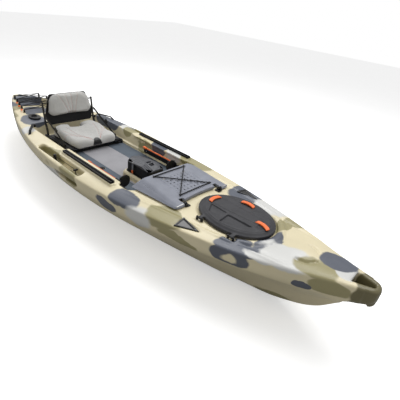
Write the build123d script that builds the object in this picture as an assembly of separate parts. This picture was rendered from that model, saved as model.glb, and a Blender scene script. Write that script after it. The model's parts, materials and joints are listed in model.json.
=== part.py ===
from build123d import *
import math
import os

# Sit-on-top fishing kayak. Millimetres, +X to the bow, +Y to port, +Z up.
# The origin is on the ground under the middle of the hull.

# ---- Overall sizes -------------------------------------------------------
LENGTH = 3505.0
BEAM = 864.0
HULL_WALL = 4.5
HALF_LENGTH = LENGTH / 2
HALF_BEAM = BEAM / 2

# ---- Deck layout, from aft to bow ----------------------------------------
FLOOR_Z = 245.0            # cockpit floor above the ground
DECK_Z = 350.0             # top of the inner gunwale
WELL_AFT = -800.0
WELL_FRONT = 425.0
SIDE_DECK = 136.0          # beam edge to cockpit mouth
WALL_LEAN = 34.0           # the cockpit wall leans out this much
WELL_HALF = HALF_BEAM - SIDE_DECK
FLOOR_HALF = WELL_HALF - WALL_LEAN
TANK_FLOOR_Z = 282.0
TANK_FRONT = -1040.0
TANK_AFT = -HALF_LENGTH + 190.0

# ---- Fits ----------------------------------------------------------------
GAP = 0.4                  # between separate faces
PIN_FIT = 0.06             # radial, running on a pin
TUBE_FIT = 0.5             # radial, a tube in its hole

# ---- Moulded details -----------------------------------------------------
SCUPPER_R = 17.0
COCKPIT_SCUPPERS = [(-70.0, 150.0), (-690.0, 150.0)]
TANK_SCUPPERS = [(TANK_FRONT - 120.0, 100.0)]
LOOP_BASE = 118.0          # bow loop opening, back from the tip
LOOP_TIP = 30.0
LOOP_HALF = 42.0
NOSE_LONG = 52.0           # rounding of the two ends, seen from above
NOSE_HALF = 0.15 * HALF_BEAM
TAIL_LONG = 95.0
TAIL_HALF = 0.27 * HALF_BEAM


# ---- Sections of the shell -----------------------------------------------
# The shell is one moulding. It is written as the bottom and three lengths of
# deck, whose cut faces meet, so that each section is open where the boat is.
SECTION_Z = FLOOR_Z - 7.0
STERN_SECTION_X = -860.0
BOW_SECTION_X = 450.0

os.makedirs("parts", exist_ok=True)


def save(name, shape):
    export_step(shape, f"parts/{name}.step")


# ---- Helpers -------------------------------------------------------------
def block(x0, x1, y0, y1, z0, z1):
    size = (x1 - x0, y1 - y0, z1 - z0)
    middle = ((x0 + x1) / 2, (y0 + y1) / 2, (z0 + z1) / 2)
    return Pos(*middle) * Box(*size)


def soft_block(x0, x1, y0, y1, z0, z1, radius, edges=Axis.Z):
    solid = block(x0, x1, y0, y1, z0, z1)
    return fillet(solid.edges().filter_by(edges), radius)


def rod(start, end, radius):
    a, b = Vector(*start), Vector(*end)
    plane = Plane(origin=a, z_dir=b - a)
    return extrude(plane * Circle(radius), (b - a).length)


def upright(x, y, z0, z1, radius):
    return rod((x, y, z0), (x, y, z1), radius)


def across(x, z, y0, y1, radius):
    return rod((x, y0, z), (x, y1, z), radius)


def plate(points, z0, z1, radius=0.0):
    face = Polygon(*points, align=None)
    if radius:
        face = fillet(face.vertices(), radius)
    return Pos(0, 0, z0) * extrude(face, z1 - z0, dir=(0, 0, 1))


def side_plate(points, y0, y1, radius=0.0):
    """A plate seen from the side: points are (x, z)."""
    face = Polygon(*points, align=None)
    if radius:
        face = fillet(face.vertices(), radius)
    plane = Plane(origin=(0, y0, 0), x_dir=(1, 0, 0), z_dir=(0, -1, 0))
    return extrude(plane * face, y1 - y0, dir=(0, 1, 0))


def oval(cx, half_x, half_y, z0, z1):
    return Pos(cx, 0, z0) * extrude(Ellipse(half_x, half_y), z1 - z0)


def both_sides(make):
    return {"port": make(1), "starboard": make(-1)}


def seated(shape, shell):
    """The shape with its foot cut to lie on the hull's skin."""
    return (shape - shell).solids().sort_by(SortBy.VOLUME)[-1]


def group(*shapes):
    solids = [s for shape in shapes for s in shape.solids()]
    return Compound(children=solids)


# ---- Hull ----------------------------------------------------------------
# share of half length, share of half beam, sheer z, keel z, crown z, flare
STATIONS = [
    (-1.00, 0.08, 318, 165, 324, 0.55),
    (-0.95, 0.17, 327, 95, 335, 0.45),
    (-0.86, 0.33, 340, 45, 351, 0.30),
    (-0.72, 0.54, 347, 14, 362, 0.12),
    (-0.52, 0.79, 340, 4, 358, 0.0),
    (-0.27, 0.97, 325, 0, 352, 0.0),
    (0.0, 1.0, 313, 0, DECK_Z, 0.0),
    (0.24, 0.925, 319, 0, 348, 0.0),
    (0.45, 0.785, 332, 4, 348, 0.12),
    (0.64, 0.61, 342, 18, 354, 0.34),
    (0.78, 0.425, 353, 50, 368, 0.62),
    (0.88, 0.265, 366, 128, 380, 0.85),
    (0.94, 0.175, 376, 236, 386, 0.75),
    (1.00, 0.10, 386, 285, 391, 0.40),
]
CROWN = [(0.93, 0.36), (0.80, 0.74), (0.58, 0.95), (0.30, 0.995)]


def section(station, inset=0.0):
    share, width, sheer, keel, crown, flare = station
    inset *= 1 + 2.2 * flare
    x = share * HALF_LENGTH
    b = width * HALF_BEAM - inset
    top, low, mid = sheer - inset, keel + inset, crown - inset
    depth = top - low
    side = [
        (b - 3, top),
        (b, top - 12),
        (b * 0.99, top - min(75, 0.55 * depth)),
        (b * (0.93 - 0.25 * flare), top - min(120, 0.72 * depth)),
        (b * (0.70 - 0.40 * flare), low + 0.32 * depth),
        (b * (0.48 - 0.31 * flare), low + 0.10 * depth),
        (b * (0.30 - 0.19 * flare), low + 0.006 * depth),
        (0, low),
    ]
    port = [(x, y, z) for y, z in side]
    starboard = [(x, -y, z) for y, z in reversed(side[:-1])]
    deck = [(x, b * t, top + (mid - top) * g) for t, g in CROWN]
    deck_other = [(x, -y, z) for _, y, z in deck]
    under = Spline(*port, *starboard)
    over = Spline(
        starboard[-1], *deck_other, (x, 0, mid), *reversed(deck), port[0]
    )
    return make_face([under.edge(), over.edge()])


def hull_body():
    solid = loft([section(s) for s in STATIONS])
    nose_x = HALF_LENGTH - NOSE_LONG
    nose = block(nose_x, HALF_LENGTH + 9, -200, 200, -9, 500)
    nose -= oval(nose_x, NOSE_LONG, NOSE_HALF, -9, 500)
    tail_x = -HALF_LENGTH + TAIL_LONG
    tail = block(-HALF_LENGTH - 9, tail_x, -260, 260, -9, 500)
    tail -= oval(tail_x, TAIL_LONG, TAIL_HALF, -9, 500)
    ground = block(-HALF_LENGTH - 9, HALF_LENGTH + 9, -600, 600, 0.5, 500)
    return Pos(0, 0, -0.5) * ((solid - nose - tail) & ground)


def crown_z(x):
    """Height of the deck's middle line, straight between the two nearest stations."""
    share = x / HALF_LENGTH
    for here, there in zip(STATIONS, STATIONS[1:]):
        if here[0] <= share <= there[0]:
            t = (share - here[0]) / (there[0] - here[0])
            return here[4] + t * (there[4] - here[4])
    return DECK_Z


def hull_space():
    inner = loft([section(s, HULL_WALL) for s in STATIONS])
    reach = HALF_LENGTH - LOOP_BASE - 55
    return inner & block(-HALF_LENGTH + 60, reach, -600, 600, -9, 500)


def grown(make, wall=HULL_WALL):
    """The cutter itself and the cutter with a wall's thickness round it."""
    return make(0.0), make(wall)


def rounded_loft(low, high, z0, z1, radius):
    """A pocket with leaning walls; low and high are (x0, x1, half width)."""
    faces = []
    for (x0, x1, half), z in ((low, z0), (high, z1)):
        plane = Plane(origin=((x0 + x1) / 2, 0, z))
        faces.append(plane * RectangleRounded(x1 - x0, 2 * half, radius))
    return loft(faces, ruled=True)


WELL_LIP_Z = 420.0         # the cutters end above the deck
WELL_SPREAD = WALL_LEAN * (WELL_LIP_Z - FLOOR_Z) / (DECK_Z - FLOOR_Z)


def cockpit_cut(wall):
    low = (WELL_AFT - wall, WELL_FRONT + wall, FLOOR_HALF + wall)
    high = (
        WELL_AFT - WELL_SPREAD - wall,
        WELL_FRONT + 12 + wall,
        FLOOR_HALF + WELL_SPREAD + wall,
    )
    return rounded_loft(low, high, FLOOR_Z - wall, WELL_LIP_Z, 55)


def tank_cut(wall):
    low = (TANK_AFT - wall, TANK_FRONT + wall)
    points = [
        (low[0], -80 - wall), (low[0], 80 + wall),
        (low[1], 205 + wall), (low[1], -205 - wall),
    ]
    return plate(points, TANK_FLOOR_Z - wall, 450, 30)


# ---- Console compartment and its cover -----------------------------------
COVER_AFT = 400.0
COVER_FRONT = 752.0
COVER_TOP_Z = 398.0
COVER_FRONT_TOP_Z = 368.0
COVER_SEAT_Z = DECK_Z + 3
COMPARTMENT = (465.0, 690.0, 140.0, 170.0)   # x0, x1, half width, floor z


def compartment_cut(wall):
    x0, x1, half, floor = COMPARTMENT
    return soft_block(x0 - wall, x1 + wall, -half - wall, half + wall,
                      floor - wall, 450, 30)


# ---- Pod: a box that drops through the floor -----------------------------
POD_X = 212.0
POD_LENGTH = 236.0
POD_HALF = 66.0
POD_BODY_TOP = 352.0
POD_LID_TOP = 382.0
PLINTH_Z = 284.0           # moulded rim round the pod
POD_FIT = 1.0


def pod_plan(grow, radius=22.0):
    return RectangleRounded(POD_LENGTH + 2 * grow, 2 * (POD_HALF + grow), radius + grow)


def pod_prism(grow, z0, z1):
    return Pos(POD_X, 0, z0) * extrude(pod_plan(grow), z1 - z0)


# ---- Bow hatch -----------------------------------------------------------
HATCH_X = 981.0
HATCH_HALF_X = 229.0
HATCH_HALF_Y = 178.0
HATCH_PAN_Z = 341.0        # flat round the coaming
COAMING_Z = 356.0
COAMING_IN = 25.0          # lid edge to the opening
COAMING_WALL = 12.0


def hatch_oval(grow, z0, z1):
    return oval(HATCH_X, HATCH_HALF_X + grow, HATCH_HALF_Y + grow, z0, z1)


# ---- Side recesses, hand slots and other small openings ------------------
RECESS_X = (-460.0, 70.0)
RECESS_HALF = 24.0
RECESS_Z = 288.0
SLOT_X = (-185.0, 70.0)
SLOT_Z = (250.0, 276.0)
SLOT_DEPTH = 40.0
HOLDER_X = -945.0
HOLDER_Y = HALF_BEAM - 238
HOLDER_TOP_Z = 366.0
HOLDER_TILT = 30.0
HOLDER_R = 22.0
HOLDER_LENGTH = 190.0
WHEEL_X = -HALF_LENGTH + 310
WHEEL_R = 52.0
WHEEL_WIDTH = 30.0
WHEEL_Z = 64.0
WHEEL_POCKET = 8.0
AXLE_R = 5.0
DRAIN_X = -HALF_LENGTH + 90
DRAIN_R = 12.0
DRAIN_HEAD_R = 19.0
DRAIN_SEAT_DEPTH = 3.0     # flat seat cut in the sloping deck


def recess_cut(side, wall):
    y = HALF_BEAM - 47
    x0, x1 = RECESS_X
    return soft_block(x0 - wall, x1 + wall, side * y - RECESS_HALF - wall,
                      side * y + RECESS_HALF + wall, RECESS_Z - wall, 400, 22)


def slot_cut(side, wall):
    x0, x1 = SLOT_X
    z0, z1 = SLOT_Z
    inner, outer = sorted((side * (HALF_BEAM - 8 - SLOT_DEPTH - wall), side * (HALF_BEAM + 40)))
    return soft_block(x0 - wall, x1 + wall, inner, outer, z0 - wall, z1 + wall, 10, Axis.Y)


def holder_axis(side):
    """Top centre of the rod holder and the way its tube runs down."""
    tilt = math.radians(HOLDER_TILT)
    down = Vector(math.sin(tilt), -0.25 * side * math.sin(tilt), -math.cos(tilt))
    return Vector(HOLDER_X, side * HOLDER_Y, HOLDER_TOP_Z), down.normalized()


def wheel_pocket(wall):
    half = WHEEL_WIDTH / 2 + 5 + wall
    reach = WHEEL_R + WHEEL_POCKET + wall
    return soft_block(WHEEL_X - reach, WHEEL_X + reach, -half, half, -5,
                      WHEEL_Z + reach, 20, Axis.Y)


INSERT_TOP_Z = 345.0
INSERT_THICK = 8.0
INSERT_TILT = 6.0
INSERT_POINTS = [(818.0, 110.0), (807.0, 199.0), (952.0, 170.0)]   # x, in from the beam edge
STRIP_X = (TANK_FRONT - 320, TANK_FRONT - 60)
HATCH_HINGE_Y = -HATCH_HALF_Y - 7
HATCH_HINGES = [HATCH_X - 105, HATCH_X + 105]


def insert_shape(side, grow, z0, z1):
    points = [(x, side * (HALF_BEAM - y)) for x, y in INSERT_POINTS]
    middle = side * (HALF_BEAM - 160)
    face = offset(Polygon(*points, align=None), grow) if grow else Polygon(*points, align=None)
    face = fillet(face.vertices(), 6) if not grow else face
    flat = Pos(0, 0, z0) * extrude(face, z1 - z0, dir=(0, 0, 1))
    pivot = Pos(0, middle, INSERT_TOP_Z)
    return pivot * Rot(-side * INSERT_TILT, 0, 0) * Pos(0, -middle, -INSERT_TOP_Z) * flat


def hinge_pocket(x, wall):
    return block(x - 26 - wall, x + 26 + wall, HATCH_HINGE_Y - 12 - wall, HATCH_HINGE_Y + 14,
                 HATCH_PAN_Z - wall, 420)


def scupper_places():
    for x, y in COCKPIT_SCUPPERS:
        for side in (1, -1):
            yield x, side * y, FLOOR_Z
    for x, y in TANK_SCUPPERS:
        for side in (1, -1):
            yield x, side * y, TANK_FLOOR_Z


# ---- Tracks and foot-brace rails, which the hull carries -----------------
TRACK_Y = HALF_BEAM - 107
TRACK_X = (-240.0, 305.0)
TRACK_WIDTH = 30.0
TRACK_BOSS_Z = DECK_Z + 2
TRACK_HEIGHT = 13.0
TRACK_SCREWS = [-205.0, 32.0, 270.0]
SCREW_R = 3.0
RAIL_X = (-95.0, 330.0)
RAIL_Z = (272.0, 302.0)
RAIL_FACE_Y = FLOOR_HALF - 6
RAIL_THICK = 12.0
RAIL_SCREWS = [-70.0, 305.0]


def hull_extras():
    """Rims and flats that stand on the hull's skin."""
    plinth = pod_prism(26, FLOOR_Z - 2, PLINTH_Z)
    plinth = chamfer(plinth.edges().group_by(Axis.Z)[-1], 10)
    coaming = hatch_oval(-COAMING_IN + COAMING_WALL, HATCH_PAN_Z - HULL_WALL, COAMING_Z)
    extras = [plinth, coaming]
    x0, x1 = TRACK_X
    for side in (1, -1):
        y = side * TRACK_Y
        extras.append(block(x0 - 6, x1 + 6, y - 20, y + 20, DECK_Z - 26, TRACK_BOSS_Z))
        inner, outer = sorted((side * RAIL_FACE_Y, side * (FLOOR_HALF + 32)))
        for x in RAIL_SCREWS:
            extras.append(block(x - 24, x + 24, inner, outer, RAIL_Z[0] - 4, RAIL_Z[1] + 4))
    return extras


def loop_opening():
    base, tip = HALF_LENGTH - LOOP_BASE, HALF_LENGTH - LOOP_TIP
    points = [(base, -LOOP_HALF), (base, LOOP_HALF), (tip, 11), (tip, -11)]
    return plate(points, 200, 450, 7)


def hull():
    outer = hull_body()
    space = hull_space()
    cutters = []
    for make in (cockpit_cut, tank_cut, compartment_cut, wheel_pocket):
        inner, walled = grown(make)
        cutters.append(inner)
        space -= walled
    for side in (1, -1):
        for make in (recess_cut, slot_cut):
            cutters.append(make(side, 0.0))
            space -= make(side, HULL_WALL)
        base = INSERT_TOP_Z - INSERT_THICK
        cutters.append(insert_shape(side, 0.5, base, 400))
        space -= insert_shape(side, HULL_WALL, base - HULL_WALL, 400)
        top, down = holder_axis(side)
        back = top - down * 40
        cutters.append(rod(back, top + down * 60, HOLDER_R + TUBE_FIT))
    for x, y, floor in scupper_places():
        cutters.append(upright(x, y, -5, floor + 5, SCUPPER_R))
        space -= upright(x, y, -5, floor + 5, SCUPPER_R + HULL_WALL)
    cutters.append(pod_prism(POD_FIT, -5, 450))
    space -= pod_prism(POD_FIT + HULL_WALL, -5, 450)
    space -= hatch_oval(9 + HULL_WALL, HATCH_PAN_Z - HULL_WALL, 450)
    cutters.append(loop_opening())
    for extra in hull_extras():
        outer += extra
    for x in HATCH_HINGES:
        cutters.append(hinge_pocket(x, 0.0))
        space -= hinge_pocket(x, HULL_WALL)
    pan = hatch_oval(9, HATCH_PAN_Z, 450)
    pan -= hatch_oval(-COAMING_IN + COAMING_WALL, 300, COAMING_Z)
    shell = outer - pan - space
    for cutter in cutters:
        shell -= cutter
    shell -= hatch_oval(-COAMING_IN, 300, 450)
    shell -= upright(DRAIN_X, 0, 290, 450, DRAIN_R + PIN_FIT)
    shell -= upright(DRAIN_X, 0, crown_z(DRAIN_X) - DRAIN_SEAT_DEPTH, 450, DRAIN_HEAD_R + 1)
    shell -= across(WHEEL_X, WHEEL_Z, -60, 60, AXLE_R)
    for side in (1, -1):
        for x in TRACK_SCREWS:
            shell -= upright(x, side * TRACK_Y, DECK_Z - 40, 400, SCREW_R)
        for x in RAIL_SCREWS:
            z = sum(RAIL_Z) / 2
            y0, y1 = sorted((side * (RAIL_FACE_Y - 5), side * (RAIL_FACE_Y + 22)))
            shell -= across(x, z, y0, y1, SCREW_R)
    return shell.solids().sort_by(SortBy.VOLUME)[-1]


def hull_sections(shell):
    far = HALF_LENGTH + 9
    wide = HALF_BEAM + 90
    decks = {
        "deck_stern": (-far, STERN_SECTION_X),
        "deck_cockpit": (STERN_SECTION_X, BOW_SECTION_X),
        "deck_bow": (BOW_SECTION_X, far),
    }
    save("hull_bottom", shell & block(-far, far, -wide, wide, -9, SECTION_Z))
    for name, (x0, x1) in decks.items():
        save(name, shell & block(x0, x1, -wide, wide, SECTION_Z, 500))


# ---- Floor pads ----------------------------------------------------------
PAD_THICK = 4.0
PAD_TOP_Z = FLOOR_Z + PAD_THICK
CENTRE_PAD_HALF = 112.0
PAD_SEAM = 1.5


def floor_pads():
    """Foam sheets glued to the floor, cut round the pod and the scuppers."""
    front = WELL_FRONT - 22
    aft = WELL_AFT + 22
    centre = soft_block(aft, front, -CENTRE_PAD_HALF, CENTRE_PAD_HALF, FLOOR_Z, PAD_TOP_Z, 18)
    centre -= pod_prism(32, FLOOR_Z - 5, PAD_TOP_Z + 5)
    side = soft_block(aft, front, CENTRE_PAD_HALF + PAD_SEAM, FLOOR_HALF - 9,
                      FLOOR_Z, PAD_TOP_Z, 18)
    for x, y in COCKPIT_SCUPPERS:
        side -= upright(x, y, FLOOR_Z - 5, PAD_TOP_Z + 5, SCUPPER_R + 7)
    save("floor_pad_centre", centre)
    save("floor_pads_side", group(side, mirror(side, Plane.XZ)))


# ---- Scupper plugs and drain plug ----------------------------------------
PLUG_DEPTH = 42.0


def scupper_plugs():
    plugs = []
    for x, y, floor in scupper_places():
        body = upright(x, y, floor - PLUG_DEPTH, floor, SCUPPER_R - 0.3)
        rim = upright(x, y, floor, floor + 3, SCUPPER_R + 4)
        pull = upright(x, y, floor + 3, floor + 9, 5)
        plugs.append(body + rim + pull)
    save("scupper_plugs", group(*plugs))


def drain_plug():
    z = crown_z(DRAIN_X) - DRAIN_SEAT_DEPTH
    body = upright(DRAIN_X, 0, z - 22, z + 2, DRAIN_R)
    head = upright(DRAIN_X, 0, z, z + 8, DRAIN_HEAD_R)
    grip = block(DRAIN_X - 10, DRAIN_X + 10, -2.5, 2.5, z + 8, z + 13)
    save("drain_plug", body + head + grip)


# ---- Gunwale tracks ------------------------------------------------------
def track(side):
    x0, x1 = TRACK_X
    y = side * TRACK_Y
    half = TRACK_WIDTH / 2
    base, top = TRACK_BOSS_Z, TRACK_BOSS_Z + TRACK_HEIGHT
    bar = soft_block(x0, x1, y - half, y + half, base, top, 3)
    bar -= block(x0 + 12, x1 - 12, y - 8, y + 8, base + 3, top - 3.5)
    bar -= block(x0 + 12, x1 + 5, y - 4, y + 4, base + 3, top + 5)
    bar -= block(x1 - 40, x1 - 12, y - 8, y + 8, base + 3, top + 5)
    for x in TRACK_SCREWS:
        bar -= upright(x, y, base - 5, top + 5, SCREW_R)
    return bar


def tracks():
    for name, bar in both_sides(track).items():
        save(f"gear_track_{name}", bar)


def track_screws():
    screws = []
    for side in (1, -1):
        for x in TRACK_SCREWS:
            y = side * TRACK_Y
            base = TRACK_BOSS_Z + 3
            screws.append(upright(x, y, base - 24, base, SCREW_R - PIN_FIT)
                          + upright(x, y, base, base + 1.8, 3.6))
    return screws


# ---- Foot braces ---------------------------------------------------------
PEDAL_X = 240.0
PEDAL_HALF = 34.0
PEDAL_OUT = 80.0
CARRIAGE_HALF = 26.0
ROD_R = 4.5
ROD_Z = RAIL_Z[1] + 13
ROD_AFT = -62.0


def rail(side):
    inner = RAIL_FACE_Y - RAIL_THICK
    y0, y1 = sorted((side * inner, side * RAIL_FACE_Y))
    bar = soft_block(*RAIL_X, y0, y1, *RAIL_Z, 5, Axis.Y)
    groove = sorted((side * (inner - 1), side * (inner + 4)))
    middle = sum(RAIL_Z) / 2
    bar -= block(RAIL_X[0] + 12, RAIL_X[1] - 12, *groove, middle - 5, middle + 5)
    for x in RAIL_SCREWS:
        bar -= across(x, middle, y0 - 2, y1 + 2, SCREW_R)
    return bar


def carriage(side):
    """Slider with the half-round foot plate standing on it."""
    face = RAIL_FACE_Y - RAIL_THICK - GAP
    y0, y1 = sorted((side * face, side * (face - 9)))
    slider = soft_block(PEDAL_X - CARRIAGE_HALF, PEDAL_X + CARRIAGE_HALF, y0, y1,
                        RAIL_Z[0] - 4, ROD_Z + 9, 5, Axis.Y)
    tongue = sorted((side * face, side * (face + 3.6)))
    middle = sum(RAIL_Z) / 2
    slider += block(PEDAL_X - CARRIAGE_HALF + 4, PEDAL_X + CARRIAGE_HALF - 4,
                    *tongue, middle - 4.6, middle + 4.6)
    inner = side * (face - 9 - PEDAL_OUT)
    outer = side * (face - 9)
    mid_z = sum(RAIL_Z) / 2 + 18
    centre = side * (face - 9 - PEDAL_HALF)
    plane = Plane(origin=(PEDAL_X + 8, 0, 0), x_dir=(0, 1, 0), z_dir=(1, 0, 0))
    disc = Pos(centre, mid_z) * Circle(PEDAL_HALF + 8)
    root = Pos((centre + outer) / 2, mid_z) * Rectangle(abs(outer - centre), 2 * PEDAL_HALF)
    plate_solid = extrude(plane * (disc + root), 7)
    plate_solid -= block(PEDAL_X - 50, PEDAL_X + 50, *sorted((outer, outer + side * 80)),
                         200, 420)
    slider += plate_solid
    for step in (-18, 0, 18):
        rib_y = sorted((centre - side * 28, outer))
        slider += block(PEDAL_X + 5, PEDAL_X + 8, *rib_y, mid_z + step - 2, mid_z + step + 2)
    y_rod = side * (face - 4.5)
    slider -= rod((PEDAL_X - 60, y_rod, ROD_Z), (PEDAL_X + 4, y_rod, ROD_Z), ROD_R)
    return slider


def adjuster(side):
    y = side * (RAIL_FACE_Y - RAIL_THICK - GAP - 4.5)
    bar = rod((ROD_AFT, y, ROD_Z), (PEDAL_X + 4, y, ROD_Z), ROD_R)
    grip = rod((ROD_AFT - 32, y, ROD_Z), (ROD_AFT, y, ROD_Z), 9)
    return bar + fillet(grip.edges(), 3)


def foot_braces():
    save("brace_rails", group(rail(1), rail(-1)))
    for name, shape in both_sides(carriage).items():
        save(f"foot_pedal_{name}", shape)
    for name, shape in both_sides(adjuster).items():
        save(f"brace_adjuster_{name}", shape)


def brace_screws():
    screws = []
    z = sum(RAIL_Z) / 2
    for side in (1, -1):
        for x in RAIL_SCREWS:
            seat = RAIL_FACE_Y - RAIL_THICK + 4
            head = across(x, z, *sorted((side * (seat - 2), side * seat)), 4.6)
            shank = across(x, z, *sorted((side * seat, side * (RAIL_FACE_Y + 18))),
                           SCREW_R - PIN_FIT)
            screws.append(head + shank)
    return screws


# ---- Pod -----------------------------------------------------------------
POD_WALL = 3.0
POD_PIN_X = POD_X - POD_LENGTH / 2 - 9
POD_PIN_Z = POD_BODY_TOP - 2
POD_PIN_R = 2.5
POD_KNUCKLE_R = 6.0
POD_BOTTOM_Z = 22.0
POD_LATCH_X = POD_X - 40
POD_ARM_IN = 19.0          # the hinge arms of the body, either side of the lid's
POD_ARM_OUT = 33.0
LATCH_PIN_Y = -POD_HALF - 5
LATCH_PIN_Z = PLINTH_Z + 15
LATCH_PIN_R = 1.5


def pod_body():
    outer = pod_prism(0, POD_BOTTOM_Z, POD_BODY_TOP)
    outer = fillet(outer.edges().group_by(Axis.Z)[0], 10)
    body = outer - pod_prism(-POD_WALL, POD_BOTTOM_Z + POD_WALL, POD_BODY_TOP + 5)
    ledge = pod_prism(7, PLINTH_Z, PLINTH_Z + 4) - pod_prism(-POD_WALL, 200, 400)
    body += ledge
    for side in (1, -1):
        y0, y1 = sorted((side * POD_ARM_IN, side * POD_ARM_OUT))
        x0 = POD_X - POD_LENGTH / 2
        arm = block(POD_PIN_X, x0 + 1, y0, y1, POD_PIN_Z - POD_KNUCKLE_R, POD_PIN_Z + 1)
        arm += across(POD_PIN_X, POD_PIN_Z, y0, y1, POD_KNUCKLE_R)
        body += arm
        body -= across(POD_PIN_X, POD_PIN_Z, y0 - 1, y1 + 1, POD_PIN_R + PIN_FIT)
    lug_y = -POD_HALF
    for x in (POD_LATCH_X - 12, POD_LATCH_X + 8):
        lug = block(x, x + 4, lug_y - 9, lug_y + 1, LATCH_PIN_Z - 5, LATCH_PIN_Z + 5)
        lug -= rod((x - 1, LATCH_PIN_Y, LATCH_PIN_Z), (x + 5, LATCH_PIN_Y, LATCH_PIN_Z),
                   LATCH_PIN_R)
        body += lug
    save("pod_body", body)


def pod_lid():
    low = pod_prism(3, POD_BODY_TOP + GAP, POD_LID_TOP - 12)
    high = loft([
        Pos(POD_X, 0, POD_LID_TOP - 12) * pod_plan(3),
        Pos(POD_X + 4, 0, POD_LID_TOP) * pod_plan(-11, 26),
    ], ruled=True)
    lid = low + high
    lid -= pod_prism(-POD_WALL - 4, POD_BODY_TOP - 5, POD_LID_TOP - 14)
    lid -= soft_block(POD_X + 22, POD_X + 78, -14, 14, POD_LID_TOP - 10, POD_LID_TOP + 5, 8)
    lid += soft_block(POD_X + 42, POD_X + 58, -16, 16, POD_LID_TOP - 3, POD_LID_TOP + 1, 3)
    x0 = POD_X - POD_LENGTH / 2
    half = POD_ARM_IN - GAP
    arm = block(POD_PIN_X, x0 + 2, -half, half, POD_PIN_Z + 2, POD_BODY_TOP + 12)
    arm += across(POD_PIN_X, POD_PIN_Z, -half, half, POD_KNUCKLE_R)
    arm -= block(x0 - 4, x0 + 4, -half - 1, half + 1, POD_PIN_Z - 8, POD_BODY_TOP + GAP)
    lid += arm
    lid -= across(POD_PIN_X, POD_PIN_Z, -half - 1, half + 1, POD_PIN_R + PIN_FIT)
    save("pod_lid", lid)


def pod_latch():
    top = POD_LID_TOP - 14
    x0, x1 = POD_LATCH_X - 7.6, POD_LATCH_X + 7.6
    y_out = -POD_HALF - 10
    y_in = -POD_HALF - 3 - GAP
    arm = block(x0, x1, y_out, y_in, LATCH_PIN_Z - 4, top)
    arm += rod((x0, LATCH_PIN_Y, LATCH_PIN_Z), (x1, LATCH_PIN_Y, LATCH_PIN_Z), 4.6)
    arm -= rod((x0 - 1, LATCH_PIN_Y, LATCH_PIN_Z), (x1 + 1, LATCH_PIN_Y, LATCH_PIN_Z),
               LATCH_PIN_R + PIN_FIT)
    tab = soft_block(x0 + 1, x1 - 1, y_out - 3.5, y_out, LATCH_PIN_Z - 6, LATCH_PIN_Z + 14, 2,
                     Axis.Y)
    save("pod_latch", arm)
    save("pod_latch_tab", tab)
    latch_pin = rod((POD_LATCH_X - 13, LATCH_PIN_Y, LATCH_PIN_Z),
                    (POD_LATCH_X + 13, LATCH_PIN_Y, LATCH_PIN_Z), LATCH_PIN_R)
    save("pod_pins", group(across(POD_PIN_X, POD_PIN_Z, -35, 35, POD_PIN_R), latch_pin))


# ---- Console cover -------------------------------------------------------
COVER_HINGE_X = COVER_FRONT - 16
COVER_HINGE_Z = COVER_SEAT_Z + 12
HINGE_FOOT_Z = COVER_SEAT_Z - 8
COVER_PIN_R = 3.0
COVER_HALF_AFT = 272.0
COVER_HALF_FRONT = 234.0
COVER_TOP_AFT = 186.0
COVER_TOP_FRONT = 206.0
ARM_IN = 160.0
COVER_SKIN = 4.0
CORD_R = 3.0


def cover_solid(shrink):
    """Raised lid with sloping sides; shrink makes its inner space."""
    z0 = COVER_SEAT_Z - (5 if shrink else 0)
    aft = COVER_AFT + shrink
    front = COVER_HINGE_X - (60 if shrink else 0)
    drop = (COVER_TOP_Z - COVER_FRONT_TOP_Z) / (COVER_FRONT - COVER_AFT)

    def outline(x, half, top_half):
        top = COVER_TOP_Z - drop * (x - COVER_AFT) - shrink
        half, top_half = half - 1.6 * shrink, top_half - shrink
        points = [(-half, z0), (half, z0), (top_half, top), (-top_half, top)]
        plane = Plane(origin=(x, 0, 0), x_dir=(0, 1, 0), z_dir=(1, 0, 0))
        return plane * Polygon(*points, align=None)

    return loft([
        outline(aft, COVER_HALF_AFT, COVER_TOP_AFT),
        outline(front, COVER_HALF_FRONT, COVER_TOP_FRONT),
    ], ruled=True)


def console_cover():
    cover = cover_solid(0.0)
    lip_z = COVER_HINGE_Z
    for side in (1, -1):
        y0, y1 = sorted((side * ARM_IN, side * COVER_HALF_FRONT))
        cover += across(COVER_HINGE_X, lip_z, y0, y1, 12)
    middle = 2 * (ARM_IN + 0.5)
    notch = block(COVER_HINGE_X - 34, COVER_FRONT + 9, -middle / 2, middle / 2, 300, 420)
    cover -= notch
    cover -= cover_solid(COVER_SKIN)
    for i in range(9):
        y = (i - 4) * 27.0
        cover += block(COVER_AFT + 60, COVER_HINGE_X - 80, y - 5, y + 5,
                       COVER_TOP_Z - 34, COVER_TOP_Z + 2) & cover_rib_space()
    cover -= across(COVER_HINGE_X, COVER_HINGE_Z, -300, 300, COVER_PIN_R + PIN_FIT)
    for x, y, z in cord_anchors():
        cover -= upright(x, y, z - 20, z + 10, 3.2)
    save("console_cover", cover.solids().sort_by(SortBy.VOLUME)[-1])


def cover_rib_space():
    return Pos(0, 0, 2.2) * cover_solid(0.0) - cover_solid(COVER_SKIN - 1)


def cover_top(x):
    drop = (COVER_TOP_Z - COVER_FRONT_TOP_Z) / (COVER_FRONT - COVER_AFT)
    return COVER_TOP_Z - drop * (x - COVER_AFT)


def cord_anchors():
    for x in (COVER_AFT + 42, COVER_HINGE_X - 66):
        for y in (-128.0, 128.0):
            yield x, y, cover_top(x)


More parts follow.
